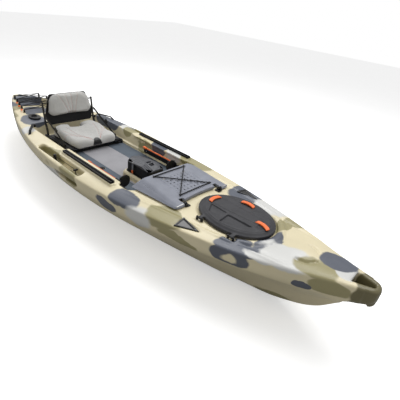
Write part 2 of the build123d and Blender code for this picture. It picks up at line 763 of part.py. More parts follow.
def cover_hinges(shell):
    """Bracket on the deck beside each cover arm, and its pin."""
    brackets, pins = [], []
    for side in (1, -1):
        y0, y1 = sorted((side * (ARM_IN - 16), side * (ARM_IN - GAP)))
        bracket = block(COVER_HINGE_X - 14, COVER_HINGE_X + 14, y0, y1,
                        HINGE_FOOT_Z, COVER_HINGE_Z)
        bracket += across(COVER_HINGE_X, COVER_HINGE_Z, y0, y1, 9)
        foot = sorted((side * (ARM_IN - 34), side * (ARM_IN - 12)))
        bracket += block(COVER_HINGE_X - 18, COVER_HINGE_X + 18, *foot,
                         HINGE_FOOT_Z, COVER_SEAT_Z + 1)
        bracket -= across(COVER_HINGE_X, COVER_HINGE_Z, y0 - 20, y1 + 20, COVER_PIN_R)
        brackets.append(seated(bracket, shell))
        pin = sorted((side * (ARM_IN - 18), side * (COVER_HALF_FRONT - 14)))
        pins.append(across(COVER_HINGE_X, COVER_HINGE_Z, *pin, COVER_PIN_R))
    save("cover_hinge_brackets", group(*brackets))
    save("cover_hinge_pins", group(*pins))


def cover_cord():
    """Elastic cord laced as a bow tie, with a plug in each anchor hole."""
    rise = 5.6
    a = [Vector(x, y, z + rise) for x, y, z in cord_anchors()]
    pieces = []
    runs = [(a[0], a[1]), (a[2], a[3]), (a[0], a[3]), (a[1], a[2])]
    for index, (start, end) in enumerate(runs):
        lift = 6.4 if index == 3 else 0.0
        middle = (start + end) * 0.5 + Vector(0, 0, lift)
        pieces.append(rod(tuple(start), tuple(middle), CORD_R))
        pieces.append(rod(tuple(middle), tuple(end), CORD_R))
        pieces.append(Pos(middle) * Sphere(CORD_R))
    for point in a:
        pieces.append(Pos(point) * Sphere(CORD_R + 1.2))
        pieces.append(upright(point.X, point.Y, point.Z - rise + 0.6, point.Z, CORD_R))
    cord = pieces[0]
    for piece in pieces[1:]:
        cord += piece
    save("cover_cord", cord)
    eyes = []
    for x, y, z in cord_anchors():
        tilt = upright(x, y, z - COVER_SKIN - 3, z + 0.6, 3.0)
        eyes.append(tilt)
    save("cord_anchors", group(*eyes))


# ---- Bow hatch -----------------------------------------------------------
LID_SKIN = 4.0
LID_EDGE_Z = 366.0
LID_TOP_Z = 378.0
LID_SLOPE = 30.0           # the edge's chamfer, seen from above
LID_BOTTOM_Z = HATCH_PAN_Z + 3
HATCH_HINGE_Z = LID_EDGE_Z - 8
HATCH_PIN_R = 3.0
LATCH_ANGLES = [178.0, 92.0, 2.0]
LATCH_SHAFT_R = 5.0
LATCH_INSET = 60.0         # lid edge to the latch shaft
LATCH_REACH = LATCH_INSET - COAMING_IN + 9


def latch_place(angle):
    t = math.radians(angle)
    x = HATCH_X + (HATCH_HALF_X - LATCH_INSET) * math.cos(t)
    y = (HATCH_HALF_Y - LATCH_INSET) * math.sin(t)
    return x, y, math.degrees(math.atan2(HATCH_HALF_X * math.sin(t), HATCH_HALF_Y * math.cos(t)))


def lid_form(*levels):
    """Loft of hatch ovals; each level is (z, how far in from the lid's edge)."""
    return loft([
        Pos(HATCH_X, 0, z) * Ellipse(HATCH_HALF_X - inset, HATCH_HALF_Y - inset)
        for z, inset in levels
    ], ruled=True)


def lid_inside():
    return lid_form(
        (LID_BOTTOM_Z - 1, LID_SKIN),
        (LID_EDGE_Z - 2, LID_SKIN),
        (LID_TOP_Z - LID_SKIN, LID_SLOPE + LID_SKIN),
    )


def hatch_lid():
    skirt = hatch_oval(0, LID_BOTTOM_Z, LID_EDGE_Z)
    crown = lid_form((LID_EDGE_Z, 0), (LID_TOP_Z, LID_SLOPE))
    lid = skirt + crown
    lid -= lid_inside()
    for x in HATCH_HINGES:
        arm = block(x - 11, x + 11, HATCH_HINGE_Y, -HATCH_HALF_Y * 0.9, HATCH_HINGE_Z - 4,
                    HATCH_HINGE_Z + 6)
        arm += rod((x - 11, HATCH_HINGE_Y, HATCH_HINGE_Z), (x + 11, HATCH_HINGE_Y, HATCH_HINGE_Z), 7)
        lid += arm - hatch_oval(-LID_SKIN, 300, 420)
        lid -= rod((x - 12, HATCH_HINGE_Y, HATCH_HINGE_Z), (x + 12, HATCH_HINGE_Y, HATCH_HINGE_Z),
                   HATCH_PIN_R + PIN_FIT)
    for angle in LATCH_ANGLES:
        x, y, _ = latch_place(angle)
        lid += upright(x, y, LID_TOP_Z - 22, LID_TOP_Z - 1, LATCH_SHAFT_R + 5)
        lid -= upright(x, y, 300, 420, LATCH_SHAFT_R + PIN_FIT)
    save("hatch_lid", lid)


def hatch_gasket():
    z1 = LID_TOP_Z - LID_SKIN
    ring_out = hatch_oval(-COAMING_IN + COAMING_WALL - 1, COAMING_Z + 0.5, z1)
    ring_in = hatch_oval(-COAMING_IN, COAMING_Z - 5, z1 + 5)
    gasket = ring_out - ring_in
    save("hatch_gasket", gasket & lid_inside())


def hatch_hinges():
    """Brackets on the hull either side of each lid knuckle, and the pins."""
    brackets, pins = [], []
    for x in HATCH_HINGES:
        for edge in (-1, 1):
            x0, x1 = sorted((x + edge * (11 + GAP), x + edge * 21))
            ear = block(x0, x1, HATCH_HINGE_Y - 6, HATCH_HINGE_Y + 4, HATCH_PAN_Z, HATCH_HINGE_Z)
            ear += rod((x0, HATCH_HINGE_Y, HATCH_HINGE_Z), (x1, HATCH_HINGE_Y, HATCH_HINGE_Z), 6)
            ear -= rod((x0 - 1, HATCH_HINGE_Y, HATCH_HINGE_Z),
                       (x1 + 1, HATCH_HINGE_Y, HATCH_HINGE_Z), HATCH_PIN_R)
            brackets.append(ear - hatch_oval(GAP, 300, 420))
        pins.append(rod((x - 23, HATCH_HINGE_Y, HATCH_HINGE_Z),
                        (x + 23, HATCH_HINGE_Y, HATCH_HINGE_Z), HATCH_PIN_R))
    save("hatch_hinge_brackets", group(*brackets))
    save("hatch_hinge_pins", group(*pins))


def hatch_latch(angle):
    """Curved grip on a shaft, with a flat bar below that turns under the rim."""
    x, y, turn = latch_place(angle)
    low = HATCH_PAN_Z - HULL_WALL - 1.5
    grip_z = LID_TOP_Z + GAP
    shaft = upright(0, 0, low, grip_z + 2, LATCH_SHAFT_R)
    bend = 60.0
    arc = Pos(-bend, 0) * (Circle(bend + 9) - Circle(bend - 9))
    wedge = Polygon((-bend, 0), (bend, 34), (bend, -34), align=None)
    grip = extrude(arc & wedge, 9)
    grip = Pos(0, 0, grip_z) * fillet(grip.edges().group_by(Axis.Z)[-1], 2.5)
    bar = block(-9, 9, -LATCH_REACH, LATCH_REACH, low - 5, low)
    latch = shaft + grip + bar
    return Pos(x, y, 0) * Rot(0, 0, turn) * latch


def hatch():
    hatch_lid()
    hatch_gasket()
    hatch_hinges()
    for name, angle in zip(("aft", "port", "front"), LATCH_ANGLES):
        save(f"hatch_latch_{name}", hatch_latch(angle))


# ---- Deck inserts, handles, rod holders, paddle keeper -------------------
def deck_insert(side):
    return insert_shape(side, 0.0, INSERT_TOP_Z - INSERT_THICK, INSERT_TOP_Z)


HANDLE_ENDS = [(-800.0, 168.0, 352.0), (-655.0, 62.0, 333.0)]   # x, in from the beam edge, z
HANDLE_ARCH = 26.0


def carry_handle(side, shell):
    ends = [Vector(x, side * (HALF_BEAM - y), z) for x, y, z in HANDLE_ENDS]
    along = (ends[1] - ends[0]).normalized()
    span = (ends[1] - ends[0]).length
    plane = Plane(origin=ends[0], x_dir=along, z_dir=along.cross(Vector(0, 0, 1)))
    points = [(0, 0), (span * 0.2, HANDLE_ARCH), (span * 0.8, HANDLE_ARCH), (span, 0)]
    line = FilletPolyline(*points, radius=14)
    outline = offset(line, 2.2, side=Side.BOTH)
    strap = extrude(plane * make_face(outline), 9, both=True)
    feet = [upright(end.X, end.Y, end.Z - 14, end.Z + 3, 10) for end in ends]
    return seated(strap + feet[0] + feet[1], shell)


def rod_holder(side, shell):
    """Flanged tube, closed below, that drops through the deck."""
    top, down = holder_axis(side)
    flange = Pos(top.X, top.Y, top.Z - 16) * extrude(Ellipse(62, 42), 20) - shell
    flange = flange.solids().sort_by(SortBy.VOLUME)[-1]
    back, end = top - down * 40, top + down * HOLDER_LENGTH
    tube_solid = rod(back, end, HOLDER_R)
    holder = tube_solid + flange
    holder -= rod(back - down * 9, end - down * 3, HOLDER_R - 2.5)
    above = block(HOLDER_X - 200, HOLDER_X + 200, -HALF_BEAM, HALF_BEAM, HOLDER_TOP_Z + 9, 600)
    return (holder - above).solids().sort_by(SortBy.VOLUME)[-1]


KEEPER_X = (-262.0, -8.0)
KEEPER_Y = -HALF_BEAM + 50
KEEPER_Z = 326.0


def paddle_keeper():
    x0, x1 = KEEPER_X
    y, z = KEEPER_Y, KEEPER_Z
    save("paddle_cord", rod((x0, y, z), (x1 - 7, y, z), 1.8))
    hook = soft_block(x0 - 16, x0, y - 8, y + 8, RECESS_Z, z + 8, 4, Axis.Y)
    save("paddle_hook", hook)
    toggle = rod((x1, y - 14, z), (x1, y + 14, z), 7)
    toggle = fillet(toggle.edges(), 3)
    post = upright(x1, y, RECESS_Z, z - 7, 3)
    save("paddle_toggle", toggle + post)


# ---- Stern: tank cords, edge strips, keel wheel, skid plate --------------
TANK_CORD_R = 3.0
TANK_CORD_Z = 384.0
NET_STEPS = 5
STRIP_Z = 367.0
STRIP_OUT = 30.0           # from the tank well's mouth


def tank_edge(x):
    """Half width of the tank well's mouth."""
    t = (x - TANK_AFT) / (TANK_FRONT - TANK_AFT)
    return 80 + t * (205 - 80)


def tank_cords(shell):
    xs = [TANK_AFT + 60 + i * (TANK_FRONT - TANK_AFT - 110) / (NET_STEPS - 1)
          for i in range(NET_STEPS)]
    net, anchors = None, []
    ends = [[(x, s * (tank_edge(x) + 16), TANK_CORD_Z) for s in (1, -1)] for x in xs]
    for here, there in zip(ends, ends[1:]):
        for a, b in ((here[0], there[1]), (here[1], there[0])):
            cord = rod(a, b, TANK_CORD_R)
            net = cord if net is None else net + cord
    net += rod(ends[0][0], ends[0][1], TANK_CORD_R) + rod(ends[-1][0], ends[-1][1], TANK_CORD_R)
    for pair in ends:
        for point in pair:
            net += Pos(*point) * Sphere(TANK_CORD_R + 1)
            x, y, z = point
            anchors.append(seated(upright(x, y, z - 44, z - TANK_CORD_R - 1, 8), shell))
    save("tank_cords", net)
    save("tank_cord_hooks", group(*anchors))


def edge_strip(side, shell):
    x0, x1 = STRIP_X
    y = [side * (tank_edge(x) + STRIP_OUT) for x in (x0, x1)]
    points = [(x0, y[0] - 7), (x1, y[1] - 7), (x1, y[1] + 7), (x0, y[0] + 7)]
    return seated(plate(points, STRIP_Z - 27, STRIP_Z), shell)


def strip_knobs(side):
    x0, x1 = STRIP_X
    knobs = []
    for t in (0.12, 0.5, 0.88):
        x = x0 + t * (x1 - x0)
        y = side * (tank_edge(x) + STRIP_OUT)
        knob = upright(x, y, STRIP_Z, STRIP_Z + 10, 9)
        knobs.append(fillet(knob.edges().group_by(Axis.Z)[-1], 3))
    return knobs


def keel_wheel():
    half = WHEEL_WIDTH / 2
    wheel = across(WHEEL_X, WHEEL_Z, -half, half, WHEEL_R)
    wheel = fillet(wheel.edges(), 8)
    wheel -= across(WHEEL_X, WHEEL_Z, -half - 1, half + 1, AXLE_R + PIN_FIT)
    save("keel_wheel", wheel)
    reach = half + 5 + HULL_WALL + 3
    save("keel_axle", across(WHEEL_X, WHEEL_Z, -reach, reach, AXLE_R))


# ---- Seat ----------------------------------------------------------------
SEAT_PIVOT_Z = 270.0
SEAT_REAR_X = -620.0
SEAT_FRONT_X = -420.0
LINK_LENGTH = 80.0
LINK_REST = 12.0
LINK_HALF = 7.0
LINK_THICK = 6.0
SEAT_PIN_R = 4.0
OPEN_PIN_FIT = 0.5
RUNNER_Y = (236.0, 250.0)
LINK_Y = (228.0, 234.0)
RAIL_BAR_Y = (212.0, 226.0)
SEAT_FRAME_X = (-725.0, -352.0)
PAN_THICK = 3.0
CUSHION_Z = (300.0, 346.0)
CUSHION_X = (-690.0, -357.0)
CUSHION_HALF_FRONT = 194.0
CUSHION_HALF_AFT = 201.0
BACK_PIN_X = -710.0
BACK_LEAN = 8.0
BACK_ARM_Y = (203.5, 210.5)
BACK_PAD_Z = (425.0, 600.0)
BACK_PAD_HALF = 193.0
BACK_PAD_TOP_HALF = 157.0
BACK_PAD_X = (-710.0, -675.0)


def frame_pivot(base_x):
    t = math.radians(LINK_REST)
    return base_x - LINK_LENGTH * math.cos(t), SEAT_PIVOT_Z + LINK_LENGTH * math.sin(t)


FRAME_PIVOT_Z = SEAT_PIVOT_Z + LINK_LENGTH * math.sin(math.radians(LINK_REST))
SIDE_RAIL_Z = (FRAME_PIVOT_Z - 9.8, CUSHION_Z[0] - GAP - PAN_THICK)


def mirrored(shape):
    return group(shape, mirror(shape, Plane.XZ))


def seat_base():
    x0, x1 = SEAT_REAR_X - 42, SEAT_FRONT_X + 48
    top = SEAT_PIVOT_Z + 9
    runner = soft_block(x0, x1, *RUNNER_Y, PAD_TOP_Z, top, 5, Axis.Y)
    for x in (SEAT_REAR_X, SEAT_FRONT_X):
        runner -= across(x, SEAT_PIVOT_Z, 200, 300, SEAT_PIN_R)
    base = runner + mirror(runner, Plane.XZ)
    for x in (x0 + 12, x1 - 12):
        base += across(x, PAD_TOP_Z + 8, -RUNNER_Y[0] - 1, RUNNER_Y[0] + 1, 7)
    save("seat_base", base)
    pins = [across(x, SEAT_PIVOT_Z, LINK_Y[0] - 1.2, RUNNER_Y[1] + 2, SEAT_PIN_R)
            for x in (SEAT_REAR_X, SEAT_FRONT_X)]
    save("seat_base_pins", mirrored(group(*pins)))


def seat_link(base_x, far_fit):
    far_x, far_z = frame_pivot(base_x)
    y0, y1 = LINK_Y
    along = Vector(far_x - base_x, 0, far_z - SEAT_PIVOT_Z)
    plane = Plane(origin=(base_x, y0, SEAT_PIVOT_Z), x_dir=along, z_dir=(0, -1, 0))
    bar = extrude(plane * (Pos(LINK_LENGTH / 2, 0) * Rectangle(LINK_LENGTH, 2 * LINK_HALF)),
                  LINK_THICK, dir=(0, 1, 0))
    bar += across(base_x, SEAT_PIVOT_Z, y0, y1, LINK_HALF + 2)
    bar += across(far_x, far_z, y0, y1, LINK_HALF + 2)
    bar -= across(base_x, SEAT_PIVOT_Z, y0 - 1, y1 + 1, SEAT_PIN_R + PIN_FIT)
    bar -= across(far_x, far_z, y0 - 1, y1 + 1, SEAT_PIN_R + far_fit)
    return mirrored(bar)


def seat_frame():
    z0, z1 = SIDE_RAIL_Z
    x0, x1 = SEAT_FRAME_X
    side = soft_block(x0, x1, *RAIL_BAR_Y, z0, z1, 5, Axis.Y)
    for base_x in (SEAT_REAR_X, SEAT_FRONT_X):
        far_x, far_z = frame_pivot(base_x)
        side -= across(far_x, far_z, 200, 300, SEAT_PIN_R)
    side -= across(BACK_PIN_X, FRAME_PIVOT_Z, 200, 300, SEAT_PIN_R)
    frame = side + mirror(side, Plane.XZ)
    for x in (x0 + 46, x1 - 12):
        frame += across(x, FRAME_PIVOT_Z, -RAIL_BAR_Y[0] - 1, RAIL_BAR_Y[0] + 1, 7)
    save("seat_frame", frame)
    pan = block(CUSHION_X[0] + 12, CUSHION_X[1] - 4, -STRAP_Y + GAP, STRAP_Y - GAP,
                z1, z1 + PAN_THICK)
    save("seat_pan", pan)
    pins = []
    for base_x in (SEAT_REAR_X, SEAT_FRONT_X):
        far_x, far_z = frame_pivot(base_x)
        pins.append(across(far_x, far_z, RAIL_BAR_Y[0] - 1, LINK_Y[1] + 1.2, SEAT_PIN_R))
    pins.append(across(BACK_PIN_X, FRAME_PIVOT_Z, BACK_ARM_Y[0] - 1.5, RAIL_BAR_Y[1] + 1,
                       SEAT_PIN_R))
    save("seat_frame_pins", mirrored(group(*pins)))


def seat_cushion():
    x0, x1 = CUSHION_X
    aft, front = CUSHION_HALF_AFT, CUSHION_HALF_FRONT
    points = [(x0, -aft + 26), (x0, -52), (x0 + 52, -40), (x0 + 52, 40), (x0, 52), (x0, aft - 26),
              (x0 + 70, aft), (x1, front), (x1, -front), (x0 + 70, -aft)]
    cushion = plate(points, *CUSHION_Z, 22)
    top = cushion.edges().group_by(Axis.Z)[-1]
    save("seat_cushion", chamfer(top, 11))
    mid = (CUSHION_Z[0] + CUSHION_Z[1]) / 2
    badge = soft_block(x1, x1 + 2.5, -24, 24, mid - 15, mid + 13, 8, Axis.X)
    save("seat_badge", badge)


def lean(shape):
    pivot = Pos(BACK_PIN_X, 0, FRAME_PIVOT_Z)
    return pivot * Rot(0, -BACK_LEAN, 0) * Pos(-BACK_PIN_X, 0, -FRAME_PIVOT_Z) * shape


def seat_back():
    z = FRAME_PIVOT_Z
    shell_x = (BACK_PAD_X[0] - 8.0, BACK_PAD_X[0] - GAP)
    points = [(BACK_PIN_X - 11, z - 9), (BACK_PIN_X + 11, z - 9), (BACK_PIN_X + 13, z + 60),
              (shell_x[1] + 1, z + 105), (shell_x[1] + 1, BACK_PAD_Z[1] - 60),
              (shell_x[0] - 8, BACK_PAD_Z[1] - 60), (shell_x[0] - 10, z + 95),
              (BACK_PIN_X - 11, z + 50)]
    arm = side_plate(points, *BACK_ARM_Y, 4)
    arm -= across(BACK_PIN_X, z, 190, 230, SEAT_PIN_R + PIN_FIT)
    arms = arm + mirror(arm, Plane.XZ)
    half = BACK_ARM_Y[0]
    for bar_z in (BACK_PAD_Z[0] - 40, BACK_PAD_Z[1] - 72):
        arms += across(shell_x[0] - 3, bar_z, -half - 1, half + 1, 5)
    plane = Plane(origin=(shell_x[0], 0, 0), x_dir=(0, 1, 0), z_dir=(1, 0, 0))
    low, high = BACK_PAD_Z[0] - 62, BACK_PAD_Z[1] - 10
    outline = Polygon((-half + 22, low), (half - 22, low), (half - 2, BACK_PAD_Z[0] + 16),
                      (BACK_PAD_TOP_HALF - 6, high), (-BACK_PAD_TOP_HALF + 6, high),
                      (-half + 2, BACK_PAD_Z[0] + 16), align=None)
    shell = extrude(plane * fillet(outline.vertices(), 20), shell_x[1] - shell_x[0], dir=(1, 0, 0))
    arms -= shell
    pad_plane = Plane(origin=(BACK_PAD_X[0], 0, 0), x_dir=(0, 1, 0), z_dir=(1, 0, 0))
    z0, z1 = BACK_PAD_Z
    pad_line = Polygon((-BACK_PAD_HALF, z0), (BACK_PAD_HALF, z0), (BACK_PAD_TOP_HALF, z1),
                       (-BACK_PAD_TOP_HALF, z1), align=None)
    pad = extrude(pad_plane * fillet(pad_line.vertices(), 30), BACK_PAD_X[1] - BACK_PAD_X[0],
                  dir=(1, 0, 0))
    save("back_frame", lean(arms))
    save("back_shell", lean(shell))
    save("back_pad", lean(pad))


STRAP_FOOT = (-440.0, 306.0)
STRAP_HEAD_Z = 520.0
STRAP_Y = 213.6
STRAP_THICK = 1.6
STRAP_HALF = 10.0


def seat_straps():
    """Webbing stays from the frame's rails up to the back's arms."""
    foot = Vector(STRAP_FOOT[0], STRAP_Y, STRAP_FOOT[1])
    rise = STRAP_HEAD_Z - FRAME_PIVOT_Z
    head_x = BACK_PIN_X - 8 - rise * math.tan(math.radians(BACK_LEAN))
    head = Vector(head_x, STRAP_Y, STRAP_HEAD_Z)
    plane = Plane(origin=foot, x_dir=head - foot, z_dir=(0, -1, 0))
    length = (head - foot).length
    strap = extrude(plane * (Pos(length / 2, 0) * Rectangle(length, 2 * STRAP_HALF)),
                    STRAP_THICK, dir=(0, 1, 0))
    save("seat_straps", mirrored(strap))
    buckle = extrude(plane * (Pos(length * 0.36, 0) * Rectangle(34, 2 * STRAP_HALF + 8)), 5,
                     dir=(0, 1, 0))
    buckle = Pos(0, STRAP_THICK, 0) * buckle
    save("strap_buckles", mirrored(buckle))
    foot_y = (STRAP_Y + STRAP_THICK, STRAP_Y + STRAP_THICK + 8)
    anchor = soft_block(STRAP_FOOT[0] - 12, STRAP_FOOT[0] + 12, *foot_y, SIDE_RAIL_Z[1],
                        STRAP_FOOT[1] + 9, 4, Axis.Y)
    save("strap_anchors", mirrored(anchor))


def seat():
    seat_base()
    save("seat_link_rear", seat_link(SEAT_REAR_X, PIN_FIT))
    save("seat_link_front", seat_link(SEAT_FRONT_X, OPEN_PIN_FIT))
    seat_frame()
    seat_cushion()
    seat_back()
    seat_straps()


if __name__ == "__main__":
    shell = hull()
    hull_sections(shell)
    floor_pads()
    scupper_plugs()
    drain_plug()
    tracks()
    foot_braces()
    save("rail_screws", group(*track_screws(), *brace_screws()))
    pod_body()
    pod_lid()
    pod_latch()
    console_cover()
    cover_hinges(shell)
    cover_cord()
    hatch()
    save("deck_inserts", group(deck_insert(1), deck_insert(-1)))
    save("carry_handles", group(carry_handle(1, shell), carry_handle(-1, shell)))
    save("rod_holders", group(rod_holder(1, shell), rod_holder(-1, shell)))
    paddle_keeper()
    tank_cords(shell)
    save("stern_strips", group(edge_strip(1, shell), edge_strip(-1, shell)))
    save("strip_knobs", group(*strip_knobs(1), *strip_knobs(-1)))
    keel_wheel()
    seat()
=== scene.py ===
import json
import math

import bpy
import numpy as np
from mathutils import Matrix, Vector
from mathutils.bvhtree import BVHTree


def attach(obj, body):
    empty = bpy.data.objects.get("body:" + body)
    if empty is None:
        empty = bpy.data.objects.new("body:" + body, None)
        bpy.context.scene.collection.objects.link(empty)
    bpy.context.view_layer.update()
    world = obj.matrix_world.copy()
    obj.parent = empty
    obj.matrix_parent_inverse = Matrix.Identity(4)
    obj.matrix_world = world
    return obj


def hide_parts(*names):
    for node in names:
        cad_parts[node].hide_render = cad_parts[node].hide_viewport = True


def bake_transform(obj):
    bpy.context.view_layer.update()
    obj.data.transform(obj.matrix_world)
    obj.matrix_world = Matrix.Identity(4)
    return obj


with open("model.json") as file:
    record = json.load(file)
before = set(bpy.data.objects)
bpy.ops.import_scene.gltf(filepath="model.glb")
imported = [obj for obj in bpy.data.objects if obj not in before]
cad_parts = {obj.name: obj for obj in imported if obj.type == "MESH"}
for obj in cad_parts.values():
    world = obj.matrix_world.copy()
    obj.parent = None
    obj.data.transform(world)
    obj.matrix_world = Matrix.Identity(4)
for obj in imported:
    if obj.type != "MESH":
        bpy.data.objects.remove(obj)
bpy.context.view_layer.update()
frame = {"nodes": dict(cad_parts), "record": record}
nodes = frame["nodes"]

MM = 0.001

# ---- Meshes from fields --------------------------------------------------
# A field is negative inside a solid. Fields are worked out in millimetres.


def smax(a, b, k):
    h = np.maximum(k - np.abs(a - b), 0) / k
    return np.maximum(a, b) + h * h * k / 4


def smin(a, b, k):
    return -smax(-a, -b, k)


def cut(a, b, k):
    """a with b taken out of it, the lip rounded over k."""
    return smax(a, -b, k)


def flat_box(x, y, cx, cy, hx, hy, r):
    qx = np.abs(x - cx) - hx + r
    qy = np.abs(y - cy) - hy + r
    return np.hypot(np.maximum(qx, 0), np.maximum(qy, 0)) + np.minimum(np.maximum(qx, qy), 0) - r


def solid_box(p, c, h, r):
    q = [np.abs(p[i] - c[i]) - h[i] + r for i in range(3)]
    far = np.sqrt(sum(np.maximum(v, 0) ** 2 for v in q))
    return far + np.minimum(np.maximum(np.maximum(q[0], q[1]), q[2]), 0) - r


def prism(plan, z, z0, z1, k=4.0):
    return smax(plan, np.abs(z - (z0 + z1) / 2) - (z1 - z0) / 2, k)


def flat_polygon(x, y, points):
    """Signed distance to a polygon whose points run anticlockwise."""
    n = len(points)
    best = np.full(np.broadcast(x, y).shape, 1e9, np.float32)
    inside = np.zeros(best.shape, bool)
    for i in range(n):
        ax, ay = points[i]
        bx, by = points[(i + 1) % n]
        ex, ey = bx - ax, by - ay
        t = np.clip(((x - ax) * ex + (y - ay) * ey) / (ex * ex + ey * ey), 0, 1)
        best = np.minimum(best, np.hypot(x - ax - t * ex, y - ay - t * ey))
        if ay != by:
            crosses = (ay > y) != (by > y)
            inside ^= crosses & (x < ax + ex * (y - ay) / (by - ay))
    return np.where(inside, -best, best)


def line_gap(p, a, b):
    """Distance from the points to the segment a-b."""
    a, b = np.array(a, float), np.array(b, float)
    e = b - a
    t = sum((p[i] - a[i]) * e[i] for i in range(3)) / (e @ e)
    t = np.clip(t, 0, 1)
    return np.sqrt(sum((p[i] - a[i] - t * e[i]) ** 2 for i in range(3)))


def hermite(xs, ys, x):
    """A smooth curve through the points (xs, ys)."""
    xs, ys = np.array(xs, float), np.array(ys, float)
    slopes = np.gradient(ys, xs)
    i = np.clip(np.searchsorted(xs, x) - 1, 0, len(xs) - 2)
    w = xs[i + 1] - xs[i]
    t = np.clip((x - xs[i]) / w, 0, 1)
    a = (1 + 2 * t) * (1 - t) ** 2 * ys[i] + t * (1 - t) ** 2 * w * slopes[i]
    return a + t * t * (3 - 2 * t) * ys[i + 1] + t * t * (t - 1) * w * slopes[i + 1]


def grid(low, high, step):
    axes = [np.arange(low[i], high[i] + step[i], step[i], dtype=np.float32) for i in range(3)]
    return np.meshgrid(*axes, indexing="ij", sparse=True)


def net(field, p, passes=2):
    """Quads over the zero surface of a field on the grid p, with its points pulled onto the surface."""
    f = np.ascontiguousarray(field, dtype=np.float32)
    inside = f < 0
    shape = np.array(f.shape)
    corners = [(i, j, k) for i in (0, 1) for j in (0, 1) for k in (0, 1)]

    def corner(a, c):
        return a[c[0]:shape[0] - 1 + c[0], c[1]:shape[1] - 1 + c[1], c[2]:shape[2] - 1 + c[2]]

    count = sum(corner(inside, c).astype(np.int8) for c in corners)
    cells = np.argwhere((count > 0) & (count < 8))
    total = np.zeros((len(cells), 3))
    hits = np.zeros(len(cells))
    for a in corners:
        for axis in range(3):
            if a[axis]:
                continue
            b = list(a)
            b[axis] = 1
            fa = f[tuple((cells + a).T)]
            fb = f[tuple((cells + b).T)]
            cross = (fa < 0) != (fb < 0)
            t = np.where(cross, fa / np.where(cross, fa - fb, 1), 0)
            place = np.array(a, float)[None, :].repeat(len(cells), 0)
            place[:, axis] = t
            total += place * cross[:, None]
            hits += cross
    start = np.array([p[0].ravel()[0], p[1].ravel()[0], p[2].ravel()[0]])
    step = np.array([p[0].ravel()[1], p[1].ravel()[1], p[2].ravel()[1]]) - start
    where = cells + total / hits[:, None]
    for _ in range(passes):
        where = pulled(f, where, step)
    number = np.full(f.shape, -1, np.int64)
    number[tuple(cells.T)] = np.arange(len(cells))
    quads = []
    for axis in range(3):
        u, v = (axis + 1) % 3, (axis + 2) % 3
        near = [slice(None)] * 3
        far = [slice(None)] * 3
        near[axis], far[axis] = slice(0, -1), slice(1, None)
        crossing = np.argwhere(inside[tuple(near)] != inside[tuple(far)])
        crossing = crossing[(crossing[:, u] > 0) & (crossing[:, v] > 0)]
        ring = []
        for du, dv in ((-1, -1), (0, -1), (0, 0), (-1, 0)):
            cell = crossing.copy()
            cell[:, u] += du
            cell[:, v] += dv
            ring.append(number[tuple(cell.T)])
        quad = np.stack(ring, 1)
        flip = ~inside[tuple(crossing.T)]
        quad[flip] = quad[flip][:, ::-1]
        quads.append(quad)
    quads = np.concatenate(quads)
    quads = quads[(quads >= 0).all(1)]
    return start + where * step, quads


def pulled(f, where, step):
    top = np.array(f.shape) - 2
    base = np.clip(np.floor(where).astype(int), 0, top)
    t = where - base

    def at(c):
        return f[tuple((base + c).T)]

    x, y, z = t.T
    c = {k: at(k) for k in [(i, j, m) for i in (0, 1) for j in (0, 1) for m in (0, 1)]}
    value = sum(c[k] * (x if k[0] else 1 - x) * (y if k[1] else 1 - y) * (z if k[2] else 1 - z)
                for k in c)
    slope = np.stack([
        sum(c[k] * (1 if k[0] else -1) * (y if k[1] else 1 - y) * (z if k[2] else 1 - z)
            for k in c) / step[0],
        sum(c[k] * (1 if k[1] else -1) * (x if k[0] else 1 - x) * (z if k[2] else 1 - z)
            for k in c) / step[1],
        sum(c[k] * (1 if k[2] else -1) * (x if k[0] else 1 - x) * (y if k[1] else 1 - y)
            for k in c) / step[2],
    ], 1)
    move = -value[:, None] * slope / np.maximum((slope ** 2).sum(1), 0.05)[:, None] / step
    length = np.linalg.norm(move, axis=1, keepdims=True)
    return where + move * np.minimum(1, 0.5 / np.maximum(length, 1e-9))


def add_mesh(name, points, faces, material, sharp=38.0):
    """A new object from points in metres."""
    data = bpy.data.meshes.new(name)
    data.from_pydata([tuple(v) for v in points], [], [tuple(int(i) for i in f) for f in faces])
    data.validate()
    data.polygons.foreach_set("use_smooth", np.ones(len(data.polygons), bool))
    data.set_sharp_from_angle(angle=math.radians(sharp))
    data.materials.append(material)
    data.update()
    obj = bpy.data.objects.new(name, data)
    bpy.context.scene.collection.objects.link(obj)
    return obj


def moulded(name, field, p, material, sharp=38.0):
    points, faces = net(field, p)
    return add_mesh(name, points * MM, faces, material, sharp)


def settle(obj, body, replaces=()):
    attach(obj, body)
    if replaces:
        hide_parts(*replaces)
    return obj


